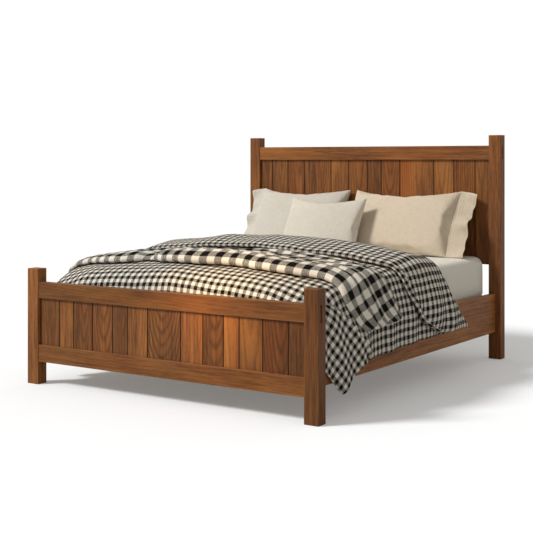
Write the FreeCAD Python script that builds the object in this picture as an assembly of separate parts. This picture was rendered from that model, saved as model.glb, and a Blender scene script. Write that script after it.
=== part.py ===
import FreeCAD, Part
import math
import os

# A dressed wooden bed in millimetres: X runs across it, Y from foot to head, Z up from the floor.

# The mattress that the frame is built round, and the room left for it
mattress_width = 1600.0
mattress_length = 2000.0
mattress_thickness = 290.0
mattress_corner = 80.0
mattress_edge = 50.0
mattress_side_gap = 31.0
mattress_head_gap = 4.0
mattress_foot_gap = 25.0
mattress_recess = 75.0

# Posts
post_width = 76.0
post_depth = 64.0
head_post_height = 1320.0
foot_post_height = 604.0
post_arris = 3.0

# Rails of the two end boards
rail_thickness = 40.0
rail_reveal = 4.0
rail_arris = 2.0
top_rail_height = 84.0
bottom_rail_height = 89.0
foot_rail_drop = 69.0
head_rail_drop = 62.0
foot_bottom_rail_z = 119.0
tenon_thickness = 14.0
tenon_shoulder = 3.0
tenon_setback = 5.0
stub_tenon_length = 40.0
joint_clearance = 0.2

# Tongued and grooved boards, with their widths as shares of the panel
panel_thickness = 14.0
panel_play = 0.15
panel_groove_depth = 10.0
panel_top_play = 1.5
panel_edge_gap = 0.3
head_panel_bottom_z = 553.0
board_seam = 0.3
board_chamfer = 2.0
tongue_thickness = 5.0
tongue_length = 6.0
tongue_play = 0.2
tongue_end_play = 0.6
foot_board_shares = (140, 97, 131, 133, 98, 129, 206, 133, 120, 90, 132, 139, 92)
head_board_shares = (95, 122, 128, 205, 131, 134, 102, 131, 233, 133, 138, 93)

# Batten that ties the head boards together near their lower ends
batten_height = 64.0
batten_thickness = 20.0
batten_lift = 14.0
batten_housing = 10.0

# Side rails
side_rail_height = 227.0
side_rail_thickness = 30.0
side_rail_z = 158.0
side_rail_inset = 34.0

# Hooks let into the rail ends, and the slotted plates that catch them
hook_thickness = 3.0
hook_plate_length = 60.0
hook_plate_height = 120.0
hook_neck = 22.0
hook_lip = 8.0
hook_nose = 6.0
hook_play = 0.3
hook_places_share = (0.22, 0.78)
catch_thickness = 3.0
catch_width = 22.0
catch_height = 150.0
pocket_play = 1.5
pin_diameter = 6.0
pin_length = 24.0
pin_places_share = (0.3, 0.7)

# Cleats, slats and centre support
cleat_width = 30.0
cleat_height = 36.0
cleat_end_gap = 30.0
cleat_screws_per_side = 6
slat_count = 13
slat_width = 90.0
slat_thickness = 18.0
slat_end_gap = 2.0
slat_arris = 4.0
slat_head_margin = 24.0
slat_foot_margin = 20.0
beam_width = 45.0
beam_height = 70.0
leg_size = 45.0
leg_arris = 3.0
leg_count = 3
leg_end_margin = 500.0
leg_bolt_diameter = 8.0
leg_bolt_length = 60.0

# Levelling feet under the centre legs
pad_diameter = 36.0
pad_height = 12.0
pad_arris = 3.0
foot_travel_gap = 8.0
stud_diameter = 8.0
stud_length = 26.0
insert_diameter = 12.0
insert_length = 18.0
thread_clearance = 0.15

# Wood screws
screw_head_diameter = 8.0
screw_head_height = 3.0
screw_shank_diameter = 4.0
short_screw_length = 26.0
slat_screw_length = 40.0

# Fitted sheet
sheet_thickness = 1.2
sheet_gap = 0.4
sheet_hem = 24.0

# Duvet: its rise over the mattress, its hanging sides and its tucked foot
soft_gap = 0.6
duvet_centre_rise = 96.0
duvet_edge_rise = 40.0
duvet_side_thickness = 25.0
duvet_side_gap = 5.0
duvet_shoulder_run = 33.0
duvet_shoulder_drop = 40.0
duvet_bend_rise = 10.0
hem_z = 246.0
foot_fall = 36.0
foot_run = 600.0
crown_fall_share = 2.1
corner_start_z = 232.0
corner_tip_z = 101.0
corner_tip_run = 160.0
corner_end_run = 372.0
corner_flare = 6.0
tuck_rise = 24.0
tuck_roll = 68.0
tuck_thickness = 21.0
tuck_depth = 165.0
tuck_inset = 25.0
tuck_reach = 118.0

# Turned-back head end of the duvet
turn_rise = 30.0
turn_sink = 8.0
turn_edge_rise = 8.0
turn_hem_z = 250.0
turn_foot_run = 741.0
turn_head_run = 1206.0
turn_foot_slant_share = 1.15
turn_head_slant_share = 0.75
turn_edge_round = 26.0

# Throw laid across the duvet, with its long creases
throw_thickness = 5.0
throw_gap = 0.8
throw_crease = 7.0
throw_hem_z = 375.0
throw_foot_run = 205.0
throw_head_run = 646.0
throw_foot_skew_share = 0.02
throw_head_skew_share = -0.03
throw_slant_share = 0.55
throw_crease_count = 4

# Pillows and cushion
pillow_width = 735.0
pillow_height = 440.0
pillow_thickness = 170.0
pillow_flange = 45.0
pillow_flange_thickness = 5.0
pillow_lean = 30.0
pillow_spacing = 12.0
pillow_offset = 45.0
pillow_draw_in = 14.0
cushion_width = 540.0
cushion_height = 400.0
cushion_thickness = 150.0
cushion_draw_in = 20.0
cushion_offset = 140.0
pad_gap = 0.3

cut_overrun = 1.0
along_share = 0.99
shoulder_shares = (0.0, 0.25, 0.5, 0.75, 1.0)

# Places worked out from the driving sizes
mattress_half = mattress_width / 2
rail_inner_x = mattress_half + mattress_side_gap
rail_outer_x = rail_inner_x + side_rail_thickness
rail_mid_x = rail_inner_x + side_rail_thickness / 2
half_width = rail_outer_x + side_rail_inset
board_setback = rail_reveal + (rail_thickness - panel_thickness) / 2
foot_depth = rail_reveal + rail_thickness + mattress_foot_gap
head_depth = mattress_head_gap + post_depth - board_setback
half_length = (mattress_length + foot_depth + head_depth) / 2
post_inner_x = half_width - post_width
foot_post_back_y = -half_length + post_depth
head_post_front_y = half_length - post_depth
foot_rail_y = -half_length + rail_reveal + rail_thickness / 2
head_rail_y = head_post_front_y + rail_reveal + rail_thickness / 2
panel_front_y = head_rail_y - panel_thickness / 2
panel_back_y = head_rail_y + panel_thickness / 2
rail_top_z = side_rail_z + side_rail_height
slat_top_z = rail_top_z - mattress_recess
slat_bottom_z = slat_top_z - slat_thickness
cleat_inner_x = rail_inner_x - cleat_width
beam_bottom_z = slat_bottom_z - beam_height
leg_bottom_z = pad_height + foot_travel_gap
mattress_top_z = slat_top_z + mattress_thickness
mattress_head_y = panel_front_y - mattress_head_gap
mattress_foot_y = mattress_head_y - mattress_length
foot_top_rail_z = foot_post_height - foot_rail_drop - top_rail_height
head_top_rail_z = head_post_height - head_rail_drop - top_rail_height
turn_foot_y = mattress_foot_y + turn_foot_run
turn_head_y = mattress_foot_y + turn_head_run
throw_foot_y = mattress_foot_y + throw_foot_run
throw_head_y = mattress_foot_y + throw_head_run
sheet_outset = sheet_gap + sheet_thickness
sheet_top_z = mattress_top_z + sheet_outset
batten_z = head_panel_bottom_z + batten_lift
both_sides = (-1, 1)


def vec(x, y, z):
    return FreeCAD.Vector(x, y, z)


def block(x_pair, y_pair, z_pair):
    """A box between pairs of coordinates given in any order."""
    x_low, x_high = sorted(x_pair)
    y_low, y_high = sorted(y_pair)
    z_low, z_high = sorted(z_pair)
    return Part.makeBox(x_high - x_low, y_high - y_low, z_high - z_low, vec(x_low, y_low, z_low))


def eased_block(x_pair, y_pair, z_pair, arris, axis=None):
    """A box with rounded arrises: all of them, or only those that run along one axis."""
    solid = block(x_pair, y_pair, z_pair)
    edges = solid.Edges
    if axis is not None:
        edges = [e for e in edges if abs(e.tangentAt(e.FirstParameter).dot(axis)) > along_share]
    return solid.makeFillet(arris, edges)


def prism(points, direction):
    """A straight solid whose end is the polygon through the points."""
    return Part.Face(Part.makePolygon(points + points[:1])).extrude(direction)


def round_bar(diameter, length, start, direction):
    return Part.makeCylinder(diameter / 2, length, start, direction)


def save(name, *solids):
    """Write one node: a single solid, or a group of separate ones."""
    shape = solids[0] if len(solids) == 1 else Part.makeCompound(list(solids))
    shape.exportStep("parts/" + name + ".step")


def screw(seat, direction, length):
    """A wood screw whose sunk head bears on the seat and whose shank runs along the direction."""
    head_start = seat - direction * screw_head_height
    head = round_bar(screw_head_diameter, screw_head_height, head_start, direction)
    return head.fuse(round_bar(screw_shank_diameter, length, seat, direction)).removeSplitter()


def screw_bore(seat, direction, length):
    """The counterbore and pilot hole that a screw sits in."""
    head_start = seat - direction * (screw_head_height + cut_overrun)
    head_depth = screw_head_height + cut_overrun
    head = round_bar(screw_head_diameter + joint_clearance, head_depth, head_start, direction)
    pilot = round_bar(screw_shank_diameter + joint_clearance, length + cut_overrun, seat, direction)
    return head.fuse(pilot)


def spaced(first, last, count):
    """Evenly spaced places, both ends included."""
    return [first + (last - first) * i / (count - 1) for i in range(count)]


# Hooks and catches of the knock-down side rails

def hook_heights():
    low = side_rail_z + (side_rail_height - hook_plate_height) / 2
    return [low + share * hook_plate_height - hook_neck / 2 for share in hook_places_share]


def rail_end(y_sign):
    """The plane where a side rail meets its post, and the way from the rail into the post."""
    return (foot_post_back_y, -1) if y_sign < 0 else (head_post_front_y, 1)


def hook_plate(x_sign, y_sign):
    end_y, out = rail_end(y_sign)
    x_low = x_sign * rail_mid_x - hook_thickness / 2
    z_low = side_rail_z + (side_rail_height - hook_plate_height) / 2
    throat = catch_thickness + hook_play
    plate = block((x_low, x_low + hook_thickness),
                  (end_y, end_y - out * hook_plate_length),
                  (z_low, z_low + hook_plate_height))
    for z in hook_heights():
        corners = [(0, z), (throat, z), (throat, z - hook_lip), (throat + hook_nose, z - hook_lip),
                   (throat + hook_nose, z + hook_neck), (0, z + hook_neck)]
        outline = [vec(x_low, end_y + out * d, level) for d, level in corners]
        plate = plate.fuse(prism(outline, vec(hook_thickness, 0, 0)))
    for hole in hook_pin_bores(x_sign, y_sign):
        plate = plate.cut(hole)
    return plate.removeSplitter()


def hook_pin_places(x_sign, y_sign):
    end_y, out = rail_end(y_sign)
    low = side_rail_z + (side_rail_height - hook_plate_height) / 2
    y = end_y - out * hook_plate_length / 2
    return [vec(x_sign * rail_inner_x, y, low + share * hook_plate_height)
            for share in pin_places_share]


def hook_pins(x_sign, y_sign):
    way = vec(x_sign, 0, 0)
    return [round_bar(pin_diameter, pin_length, at, way) for at in hook_pin_places(x_sign, y_sign)]


def hook_pin_bores(x_sign, y_sign):
    way = vec(x_sign, 0, 0)
    bore = pin_diameter + joint_clearance
    return [round_bar(bore, pin_length + joint_clearance, at, way)
            for at in hook_pin_places(x_sign, y_sign)]


def catch_screw_seats(x_sign, y_sign):
    end_y, out = rail_end(y_sign)
    middle = side_rail_z + side_rail_height / 2
    reach = catch_height / 2 - screw_head_diameter
    seat_y = end_y + out * screw_head_height / 2
    return [vec(x_sign * rail_mid_x, seat_y, middle + side * reach) for side in both_sides]


def catch_plate(x_sign, y_sign):
    end_y, out = rail_end(y_sign)
    middle_z = side_rail_z + side_rail_height / 2
    x = x_sign * rail_mid_x
    plate = block((x - catch_width / 2, x + catch_width / 2), (end_y, end_y + out * catch_thickness),
                  (middle_z - catch_height / 2, middle_z + catch_height / 2))
    slot_half = hook_thickness / 2 + hook_play
    for z in hook_heights():
        slot = block((x - slot_half, x + slot_half),
                     (end_y - out * cut_overrun, end_y + out * (catch_thickness + cut_overrun)),
                     (z, z + hook_neck + hook_lip + hook_play))
        plate = plate.cut(slot)
    for seat in catch_screw_seats(x_sign, y_sign):
        plate = plate.cut(catch_screw_bore(seat, vec(0, out, 0)))
    return plate


def catch_screw(seat, way):
    """A screw whose head is half as thick, to lie flush in the plate."""
    head = round_bar(screw_head_diameter, screw_head_height / 2, seat - way * (screw_head_height / 2), way)
    return head.fuse(round_bar(screw_shank_diameter, short_screw_length, seat, way)).removeSplitter()


def catch_screw_bore(seat, way):
    start = seat - way * (screw_head_height / 2 + cut_overrun)
    depth = screw_head_height / 2 + cut_overrun
    head = round_bar(screw_head_diameter + joint_clearance, depth, start, way)
    pilot = round_bar(screw_shank_diameter + joint_clearance, short_screw_length + cut_overrun, seat, way)
    return head.fuse(pilot)


def catch_recess(x_sign, y_sign):
    """What is cut from a post for one catch plate, its screws and its hooks' noses."""
    end_y, out = rail_end(y_sign)
    middle_z = side_rail_z + side_rail_height / 2
    x = x_sign * rail_mid_x
    seat_half = catch_width / 2 + joint_clearance
    tall_half = catch_height / 2 + joint_clearance
    cut = block((x - seat_half, x + seat_half),
                (end_y - out * cut_overrun, end_y + out * catch_thickness),
                (middle_z - tall_half, middle_z + tall_half))
    deep = catch_thickness + hook_play + hook_nose + pocket_play
    pocket_half = hook_thickness / 2 + pocket_play
    for z in hook_heights():
        cut = cut.fuse(block((x - pocket_half, x + pocket_half), (end_y, end_y + out * deep),
                             (z - hook_lip - pocket_play, z + hook_neck + hook_lip + pocket_play)))
    for seat in catch_screw_seats(x_sign, y_sign):
        cut = cut.fuse(catch_screw_bore(seat, vec(0, out, 0)))
    return cut


# Posts and end-board rails

def tenon_block(x_sign, rail_y, rail_z, rail_height, length, play):
    """A rail tenon, or with play the mortise for it."""
    half = tenon_thickness / 2 + play
    return block((x_sign * post_inner_x, x_sign * (post_inner_x + length + play)),
                 (rail_y - half, rail_y + half),
                 (rail_z + tenon_shoulder - play, rail_z + rail_height - tenon_shoulder + play))


def post(x_sign, y_sign):
    at_foot = y_sign < 0
    y_pair = (-half_length, foot_post_back_y) if at_foot else (head_post_front_y, half_length)
    height = foot_post_height if at_foot else head_post_height
    rail_y = foot_rail_y if at_foot else head_rail_y
    top_z = foot_top_rail_z if at_foot else head_top_rail_z
    body = eased_block((x_sign * post_inner_x, x_sign * half_width), y_pair, (0, height), post_arris)
    through = post_width + cut_overrun
    body = body.cut(tenon_block(x_sign, rail_y, top_z, top_rail_height, through, joint_clearance))
    if at_foot:
        body = body.cut(tenon_block(x_sign, rail_y, foot_bottom_rail_z, bottom_rail_height,
                                    stub_tenon_length, joint_clearance))
    else:
        body = body.cut(batten_block(joint_clearance))
    return body.cut(catch_recess(x_sign, y_sign))


def board_rail(rail_y, rail_z, rail_height, tenon_length, groove_up):
    """A rail between two posts, tenoned at both ends and grooved for the boards."""
    half = rail_thickness / 2
    rail = eased_block((-post_inner_x, post_inner_x), (rail_y - half, rail_y + half),
                       (rail_z, rail_z + rail_height), rail_arris, vec(1, 0, 0))
    groove_half = panel_thickness / 2 + panel_play
    groove_z = rail_z + rail_height if groove_up else rail_z
    groove_floor = groove_z - panel_groove_depth if groove_up else groove_z + panel_groove_depth
    groove_mouth = groove_z + cut_overrun if groove_up else groove_z - cut_overrun
    reach = post_inner_x + cut_overrun
    rail = rail.cut(block((-reach, reach), (rail_y - groove_half, rail_y + groove_half),
                          (groove_floor, groove_mouth)))
    for x_sign in both_sides:
        rail = rail.fuse(tenon_block(x_sign, rail_y, rail_z, rail_height, tenon_length, 0))
    return rail.removeSplitter()


def batten_block(play):
    """The batten behind the head boards, or with play the housings for its ends."""
    reach = post_inner_x + batten_housing + play
    return block((-reach, reach), (panel_back_y - play, panel_back_y + batten_thickness + play),
                 (batten_z - play, batten_z + batten_height + play))


# Boards of the two panels

def board_edges(shares):
    """Where the seams between neighbouring boards fall across the panel."""
    left = -post_inner_x + panel_edge_gap
    span = 2 * (post_inner_x - panel_edge_gap)
    edges = [left]
    for share in shares:
        edges.append(edges[-1] + span * share / sum(shares))
    return edges


def board(x_left, x_right, grooved, tongued, y_mid, z_low, z_high):
    """One board, V-jointed on the faces, with a groove on its left and a tongue on its right."""
    half = panel_thickness / 2
    tongue = tongue_thickness / 2
    slot = tongue + tongue_play
    slot_end = x_left + tongue_length + tongue_end_play
    right = [(x_right - board_chamfer, -half), (x_right, -half + board_chamfer)]
    if tongued:
        right += [(x_right, -tongue), (x_right + tongue_length, -tongue),
                  (x_right + tongue_length, tongue), (x_right, tongue)]
    right += [(x_right, half - board_chamfer), (x_right - board_chamfer, half)]
    left = [(x_left + board_chamfer, half), (x_left, half - board_chamfer)]
    if grooved:
        left += [(x_left, slot), (slot_end, slot), (slot_end, -slot), (x_left, -slot)]
    left += [(x_left, -half + board_chamfer), (x_left + board_chamfer, -half)]
    outline = [vec(x, y_mid + y, z_low) for x, y in right + left]
    return prism(outline, vec(0, 0, z_high - z_low))


def panel(shares, y_mid, z_low, z_high):
    edges = board_edges(shares)
    last = len(shares) - 1
    boards = []
    for i in range(len(shares)):
        x_left = edges[i] + (board_seam / 2 if i > 0 else 0)
        x_right = edges[i + 1] - (board_seam / 2 if i < last else 0)
        boards.append(board(x_left, x_right, i > 0, i < last, y_mid, z_low, z_high))
    return boards


def batten_screw_seats():
    """One screw from the back through the batten into the middle of each head board."""
    edges = board_edges(head_board_shares)
    y = panel_back_y + batten_thickness - screw_head_height
    z = batten_z + batten_height / 2
    return [vec((a + b) / 2, y, z) for a, b in zip(edges, edges[1:])]


# Side rails, cleats, slats and centre support

def cleat_screw_seats(x_sign):
    y_low = foot_post_back_y + cleat_end_gap + hook_plate_length + cleat_height
    y_high = head_post_front_y - cleat_end_gap - hook_plate_length - cleat_height
    x = x_sign * (cleat_inner_x + screw_head_height)
    z = slat_bottom_z - cleat_height / 2
    return [vec(x, y, z) for y in spaced(y_low, y_high, cleat_screws_per_side)]


def slat_places():
    first = mattress_foot_y + slat_foot_margin + slat_width / 2
    last = mattress_head_y - slat_head_margin - slat_width / 2
    return spaced(first, last, slat_count)


def slat_screw_seats():
    x_end = cleat_inner_x + cleat_width / 2
    z = slat_top_z - screw_head_height
    return [vec(x, y, z) for y in slat_places() for x in (-x_end, 0, x_end)]


def drilled(solid, seats, way, length):
    for seat in seats:
        if solid.BoundBox.isInside(seat + way * length) or solid.BoundBox.isInside(seat):
            solid = solid.cut(screw_bore(seat, way, length))
    return solid


def side_rail(x_sign):
    rail = eased_block((x_sign * rail_inner_x, x_sign * rail_outer_x),
                       (foot_post_back_y, head_post_front_y),
                       (side_rail_z, rail_top_z), rail_arris, vec(0, 1, 0))
    kerf_half = hook_thickness / 2 + joint_clearance
    kerf_low = side_rail_z + (side_rail_height - hook_plate_height) / 2
    for y_sign in both_sides:
        end_y, out = rail_end(y_sign)
        x = x_sign * rail_mid_x
        rail = rail.cut(block((x - kerf_half, x + kerf_half),
                              (end_y + out * cut_overrun,
                               end_y - out * (hook_plate_length + joint_clearance)),
                              (kerf_low, kerf_low + hook_plate_height + joint_clearance)))
        for bore in hook_pin_bores(x_sign, y_sign):
            rail = rail.cut(bore)
    for seat in cleat_screw_seats(x_sign):
        rail = rail.cut(screw_bore(seat, vec(x_sign, 0, 0), short_screw_length + cleat_width / 2))
    return rail


def cleat(x_sign):
    y_pair = (foot_post_back_y + cleat_end_gap, head_post_front_y - cleat_end_gap)
    strip = block((x_sign * cleat_inner_x, x_sign * rail_inner_x), y_pair,
                  (slat_bottom_z - cleat_height, slat_bottom_z))
    for seat in cleat_screw_seats(x_sign):
        strip = strip.cut(screw_bore(seat, vec(x_sign, 0, 0), short_screw_length + cleat_width / 2))
    return drilled(strip, slat_screw_seats(), vec(0, 0, -1), slat_screw_length)


def slat(y_mid):
    reach = rail_inner_x - slat_end_gap
    body = eased_block((-reach, reach), (y_mid - slat_width / 2, y_mid + slat_width / 2),
                       (slat_bottom_z, slat_top_z), slat_arris, vec(1, 0, 0))
    seats = [seat for seat in slat_screw_seats() if abs(seat.y - y_mid) < slat_width / 2]
    return drilled(body, seats, vec(0, 0, -1), slat_screw_length)


def beam_span():
    places = slat_places()
    return places[0] - slat_width / 2, places[-1] + slat_width / 2


def leg_places():
    low, high = beam_span()
    return spaced(low + leg_end_margin, high - leg_end_margin, leg_count)


def leg_bolt(y, play=0):
    start = beam_bottom_z - leg_bolt_length / 2 - play
    return round_bar(leg_bolt_diameter + play, leg_bolt_length + 2 * play, vec(0, y, start), vec(0, 0, 1))


def centre_beam():
    half = beam_width / 2
    beam = block((-half, half), beam_span(), (beam_bottom_z, slat_bottom_z))
    for y in leg_places():
        beam = beam.cut(leg_bolt(y, joint_clearance))
    return drilled(beam, slat_screw_seats(), vec(0, 0, -1), slat_screw_length)


def centre_leg(y):
    half = leg_size / 2
    leg = eased_block((-half, half), (y - half, y + half), (leg_bottom_z, beam_bottom_z),
                      leg_arris, vec(0, 0, 1))
    leg = leg.cut(leg_bolt(y, joint_clearance))
    depth = pad_height + stud_length + joint_clearance + cut_overrun
    stud_hole = round_bar(stud_diameter + joint_clearance, depth, vec(0, y, pad_height), vec(0, 0, 1))
    seat = round_bar(insert_diameter + joint_clearance, insert_length + cut_overrun,
                     vec(0, y, leg_bottom_z - cut_overrun), vec(0, 0, 1))
    return leg.cut(seat).cut(stud_hole)


def leg_insert(y):
    start = vec(0, y, leg_bottom_z)
    sleeve = round_bar(insert_diameter, insert_length, start, vec(0, 0, 1))
    bore = round_bar(stud_diameter + 2 * thread_clearance, insert_length, start, vec(0, 0, 1))
    return sleeve.cut(bore)


def levelling_foot(y):
    pad = round_bar(pad_diameter, pad_height, vec(0, y, 0), vec(0, 0, 1))
    pad = pad.makeFillet(pad_arris, [e for e in pad.Edges if len(e.Vertexes) == 1])
    stud = round_bar(stud_diameter, stud_length, vec(0, y, pad_height), vec(0, 0, 1))
    return pad.fuse(stud).removeSplitter()


# Mattress and fitted sheet

def mattress_form(outset):
    """The mattress with round corners and edges, grown all round by an outset."""
    solid = block((-mattress_half - outset, mattress_half + outset),
                  (mattress_foot_y - outset, mattress_head_y + outset),
                  (slat_top_z - outset, mattress_top_z + outset))
    upright = [e for e in solid.Edges if abs(e.tangentAt(e.FirstParameter).z) > along_share]
    solid = solid.makeFillet(mattress_corner + outset, upright)
    level = (slat_top_z - outset, mattress_top_z + outset)
    boxes = [(e, e.BoundBox) for e in solid.Edges]
    rims = [e for e, box in boxes if box.ZLength < cut_overrun
            and min(abs(box.ZMin - z) for z in level) < cut_overrun]
    return solid.makeFillet(mattress_edge + outset, rims)


def fitted_sheet():
    shell = mattress_form(sheet_outset).cut(mattress_form(sheet_gap))
    reach_x = mattress_width
    below = block((-reach_x, reach_x), (mattress_foot_y - mattress_width, mattress_head_y + mattress_width),
                  (0, slat_top_z + mattress_edge + sheet_hem))
    return shell.cut(below)


# Covers that hang over the bed: each is lofted through sections that cross it from side to side

def arc(first, middle, last):
    return Part.Arc(first, middle, last).toShape()


def line(first, last):
    return Part.LineSegment(first, last).toShape()


def shoulder(edge, side, turn_share):
    """A point on the quarter round from the top edge of a cover to its side."""
    turn = turn_share * math.pi / 2
    return (edge[0] + (side[0] - edge[0]) * math.sin(turn), side[1] + (edge[1] - side[1]) * math.cos(turn))


def cover_side(lift, fall=0, flare=0):
    """Half the outline of the duvet's upper face, or of a face lifted off it, as (x, z) points."""
    out_x = rail_outer_x + duvet_side_gap + duvet_side_thickness + lift
    crown = (0, sheet_top_z + duvet_centre_rise + lift - crown_fall_share * fall)
    edge = (mattress_half - mattress_edge, sheet_top_z + duvet_edge_rise + lift - fall)
    side = (mattress_half + duvet_shoulder_run + lift, mattress_top_z - duvet_shoulder_drop)
    bend = (out_x, rail_top_z + duvet_bend_rise)
    return crown, edge, side, bend, out_x + flare


def under_side(fall=0):
    """Half the outline of the duvet's lower face, which lies on the sheet and clears the side rail."""
    top_z = sheet_top_z + soft_gap - fall
    edge = (mattress_half - mattress_edge, top_z)
    side = (mattress_half + sheet_outset + soft_gap, mattress_top_z - mattress_edge)
    low_x = rail_outer_x + duvet_side_gap
    bend = (low_x, rail_top_z + duvet_bend_rise)
    return (0, top_z), edge, side, bend, low_x


def section(upper, lower, low_z, y, slant=0, skew=0):
    """One closed section: over the upper outline from hem to hem and back along the lower one."""
    def place(point, side):
        x = side * point[0]
        return vec(x, y + slant * (mattress_top_z - point[1]) + skew * x, point[1])

    def half_round(edge, side, way, shares):
        places = [place(shoulder(edge, side, share), way) for share in shares]
        return [arc(*places[:3]), arc(*places[2:])]

    def run(outline, way):
        crown, edge, side, bend, hem_x = outline
        hem = (hem_x, low_z)
        over = line(place(edge, -way), place(edge, way))
        if crown[1] != edge[1]:
            over = arc(place(edge, -way), place(crown, way), place(edge, way))
        rising = [line(place(hem, -way), place(bend, -way)), line(place(bend, -way), place(side, -way))]
        falling = [line(place(side, way), place(bend, way)), line(place(bend, way), place(hem, way))]
        return (rising + half_round(edge, side, -way, shoulder_shares[::-1]) + [over]
                + half_round(edge, side, way, shoulder_shares) + falling)

    right_hem = line(place((upper[-1], low_z), 1), place((lower[-1], low_z), 1))
    left_hem = line(place((lower[-1], low_z), -1), place((upper[-1], low_z), -1))
    return Part.Wire(run(upper, 1) + [right_hem] + run(lower, -1) + [left_hem])


def loft(sections):
    return Part.makeLoft(sections, True, True)


def corner_hem(away):
    """The hem near the foot, which drops to a long hanging corner and rises again."""
    if away < corner_tip_run:
        return corner_start_z + (corner_tip_z - corner_start_z) * away / corner_tip_run
    share = min(1, (away - corner_tip_run) / (corner_end_run - corner_tip_run))
    return corner_tip_z + (hem_z - corner_tip_z) * share


def foot_sink(away):
    """How far the duvet sinks towards its foot, at a distance from its rounded end."""
    return foot_fall * max(0, 1 - away / foot_run) ** 2


def duvet_base():
    """The duvet from its rounded foot to its fold, with the long corners that hang beside the foot posts."""
    foot_end_y = foot_post_back_y + duvet_side_gap
    middle_run = (corner_tip_run + corner_end_run) / 2
    under_falls = {0: mattress_edge / 2, mattress_edge / 2: mattress_edge / 16}
    sections = []
    for away in (0, mattress_edge / 2, mattress_edge, corner_tip_run, middle_run, corner_end_run):
        fall = foot_sink(away)
        low_z = corner_hem(away)
        flare = corner_flare * (hem_z - low_z) / (hem_z - corner_tip_z)
        sections.append(section(cover_side(0, fall, flare), under_side(under_falls.get(away, 0)),
                                low_z, foot_end_y + away))
    for y, slant, low_z in ((turn_foot_y, turn_foot_slant_share / 2, (hem_z + turn_hem_z) / 2),
                            (turn_head_y, turn_head_slant_share, turn_hem_z)):
        sections.append(section(cover_side(0), under_side(), low_z, y, slant))
    return loft(sections)


def duvet_tuck():
    """The foot of the duvet, rolled over the mattress end and tucked down behind the footboard."""
    front_y = foot_rail_y + rail_thickness / 2 + soft_gap
    back_y = front_y + tuck_thickness
    reach_y = back_y + tuck_reach
    top_z = sheet_top_z + tuck_rise
    low_z = mattress_top_z - tuck_depth
    under_z = sheet_top_z + soft_gap
    radius = mattress_edge + sheet_outset + soft_gap
    eighth_share = 1 - math.sin(math.pi / 4)
    turn = radius * eighth_share
    outer_turn = tuck_roll * eighth_share
    shoulder_z = mattress_top_z - mattress_edge
    reach_x = mattress_half - tuck_inset
    x = -reach_x
    edges = [
        line(vec(x, reach_y, under_z), vec(x, reach_y, top_z)),
        line(vec(x, reach_y, top_z), vec(x, front_y + tuck_roll, top_z)),
        arc(vec(x, front_y + tuck_roll, top_z), vec(x, front_y + outer_turn, top_z - outer_turn),
            vec(x, front_y, top_z - tuck_roll)),
        line(vec(x, front_y, top_z - tuck_roll), vec(x, front_y, low_z)),
        line(vec(x, front_y, low_z), vec(x, back_y, low_z)),
        line(vec(x, back_y, low_z), vec(x, back_y, shoulder_z)),
        arc(vec(x, back_y, shoulder_z), vec(x, back_y + turn, under_z - turn),
            vec(x, back_y + radius, under_z)),
        line(vec(x, back_y + radius, under_z), vec(x, reach_y, under_z)),
    ]
    return Part.Face(Part.Wire(edges)).extrude(vec(2 * reach_x, 0, 0))


def duvet_turn_back():
    """The doubled head end, thick and round-edged, which hangs askew down both sides."""
    span = turn_head_y - turn_foot_y
    ends = (
        # distance along the span, slant and rise of the upper face
        (0, turn_foot_slant_share, turn_edge_rise),
        (turn_edge_round, turn_foot_slant_share, turn_rise),
        (span / 2, (turn_foot_slant_share + turn_head_slant_share) / 2, turn_rise),
        (span - turn_edge_round, turn_head_slant_share, turn_rise),
        (span - soft_gap, turn_head_slant_share, turn_edge_rise),
    )
    sections = [section(cover_side(rise), cover_side(-turn_sink), turn_hem_z - soft_gap,
                        turn_foot_y + away, slant) for away, slant, rise in ends]
    return loft(sections)


def duvet():
    return duvet_base().fuse(duvet_tuck()).fuse(duvet_turn_back())


def throw():
    """A thin cloth laid askew across the duvet, creased along its length."""
    steps = 2 * throw_crease_count
    sections = []
    for i in range(steps + 1):
        share = i / steps
        y = throw_foot_y + (throw_head_y - throw_foot_y) * share
        skew = throw_foot_skew_share + (throw_head_skew_share - throw_foot_skew_share) * share
        crease = throw_crease if i % 2 else 0
        fall = foot_sink(y - foot_post_back_y - duvet_side_gap)
        upper = cover_side(throw_gap + throw_thickness + crease, fall)
        lower = cover_side(throw_gap + crease, fall)
        sections.append(section(upper, lower, throw_hem_z, y, throw_slant_share, skew))
    return loft(sections)


# Pillows and cushion

def pillow_outline(width, height, bow, z, left_extra=0, right_extra=0):
    """A four-sided outline whose sides bow in (positive) or out (negative) between the corners."""
    left = -width / 2 - left_extra
    right = width / 2 + right_extra
    top = height / 2
    middle = (left + right) / 2
    return Part.Wire([
        arc(vec(left, -top, z), vec(middle, -top + bow, z), vec(right, -top, z)),
        arc(vec(right, -top, z), vec(right - bow, 0, z), vec(right, top, z)),
        arc(vec(right, top, z), vec(middle, top - bow, z), vec(left, top, z)),
        arc(vec(left, top, z), vec(left + bow, 0, z), vec(left, -top, z)),
    ])


def padded_form(width, height, thickness, draw_in):
    """A stuffed form: a crowned face each side of a seam that is drawn in between its corners."""
    shares = (
        # height off the seam, width and depth of the outline, and bow of its sides
        (0.50, 0.30, 0.26, -0.6),
        (0.43, 0.58, 0.54, -1.0),
        (0.28, 0.82, 0.78, -0.5),
        (0.0, 1.0, 1.0, 1.0),
    )
    levels = [(-up, wide, deep, bow) for up, wide, deep, bow in shares]
    levels += list(reversed(shares[:-1]))
    return loft([pillow_outline(width * wide, height * deep, draw_in * bow, thickness * up)
                 for up, wide, deep, bow in levels])


def flange(side):
    """The flat open end of a pillowcase, which stands out past the stuffing."""
    half = pillow_flange_thickness / 2
    inner = pillow_width / 2 - 2 * pillow_flange
    outer = pillow_width / 2 + pillow_flange
    tall = pillow_height / 2 - pillow_draw_in
    return block((side * inner, side * outer), (-tall, tall), (-half, half))


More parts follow.
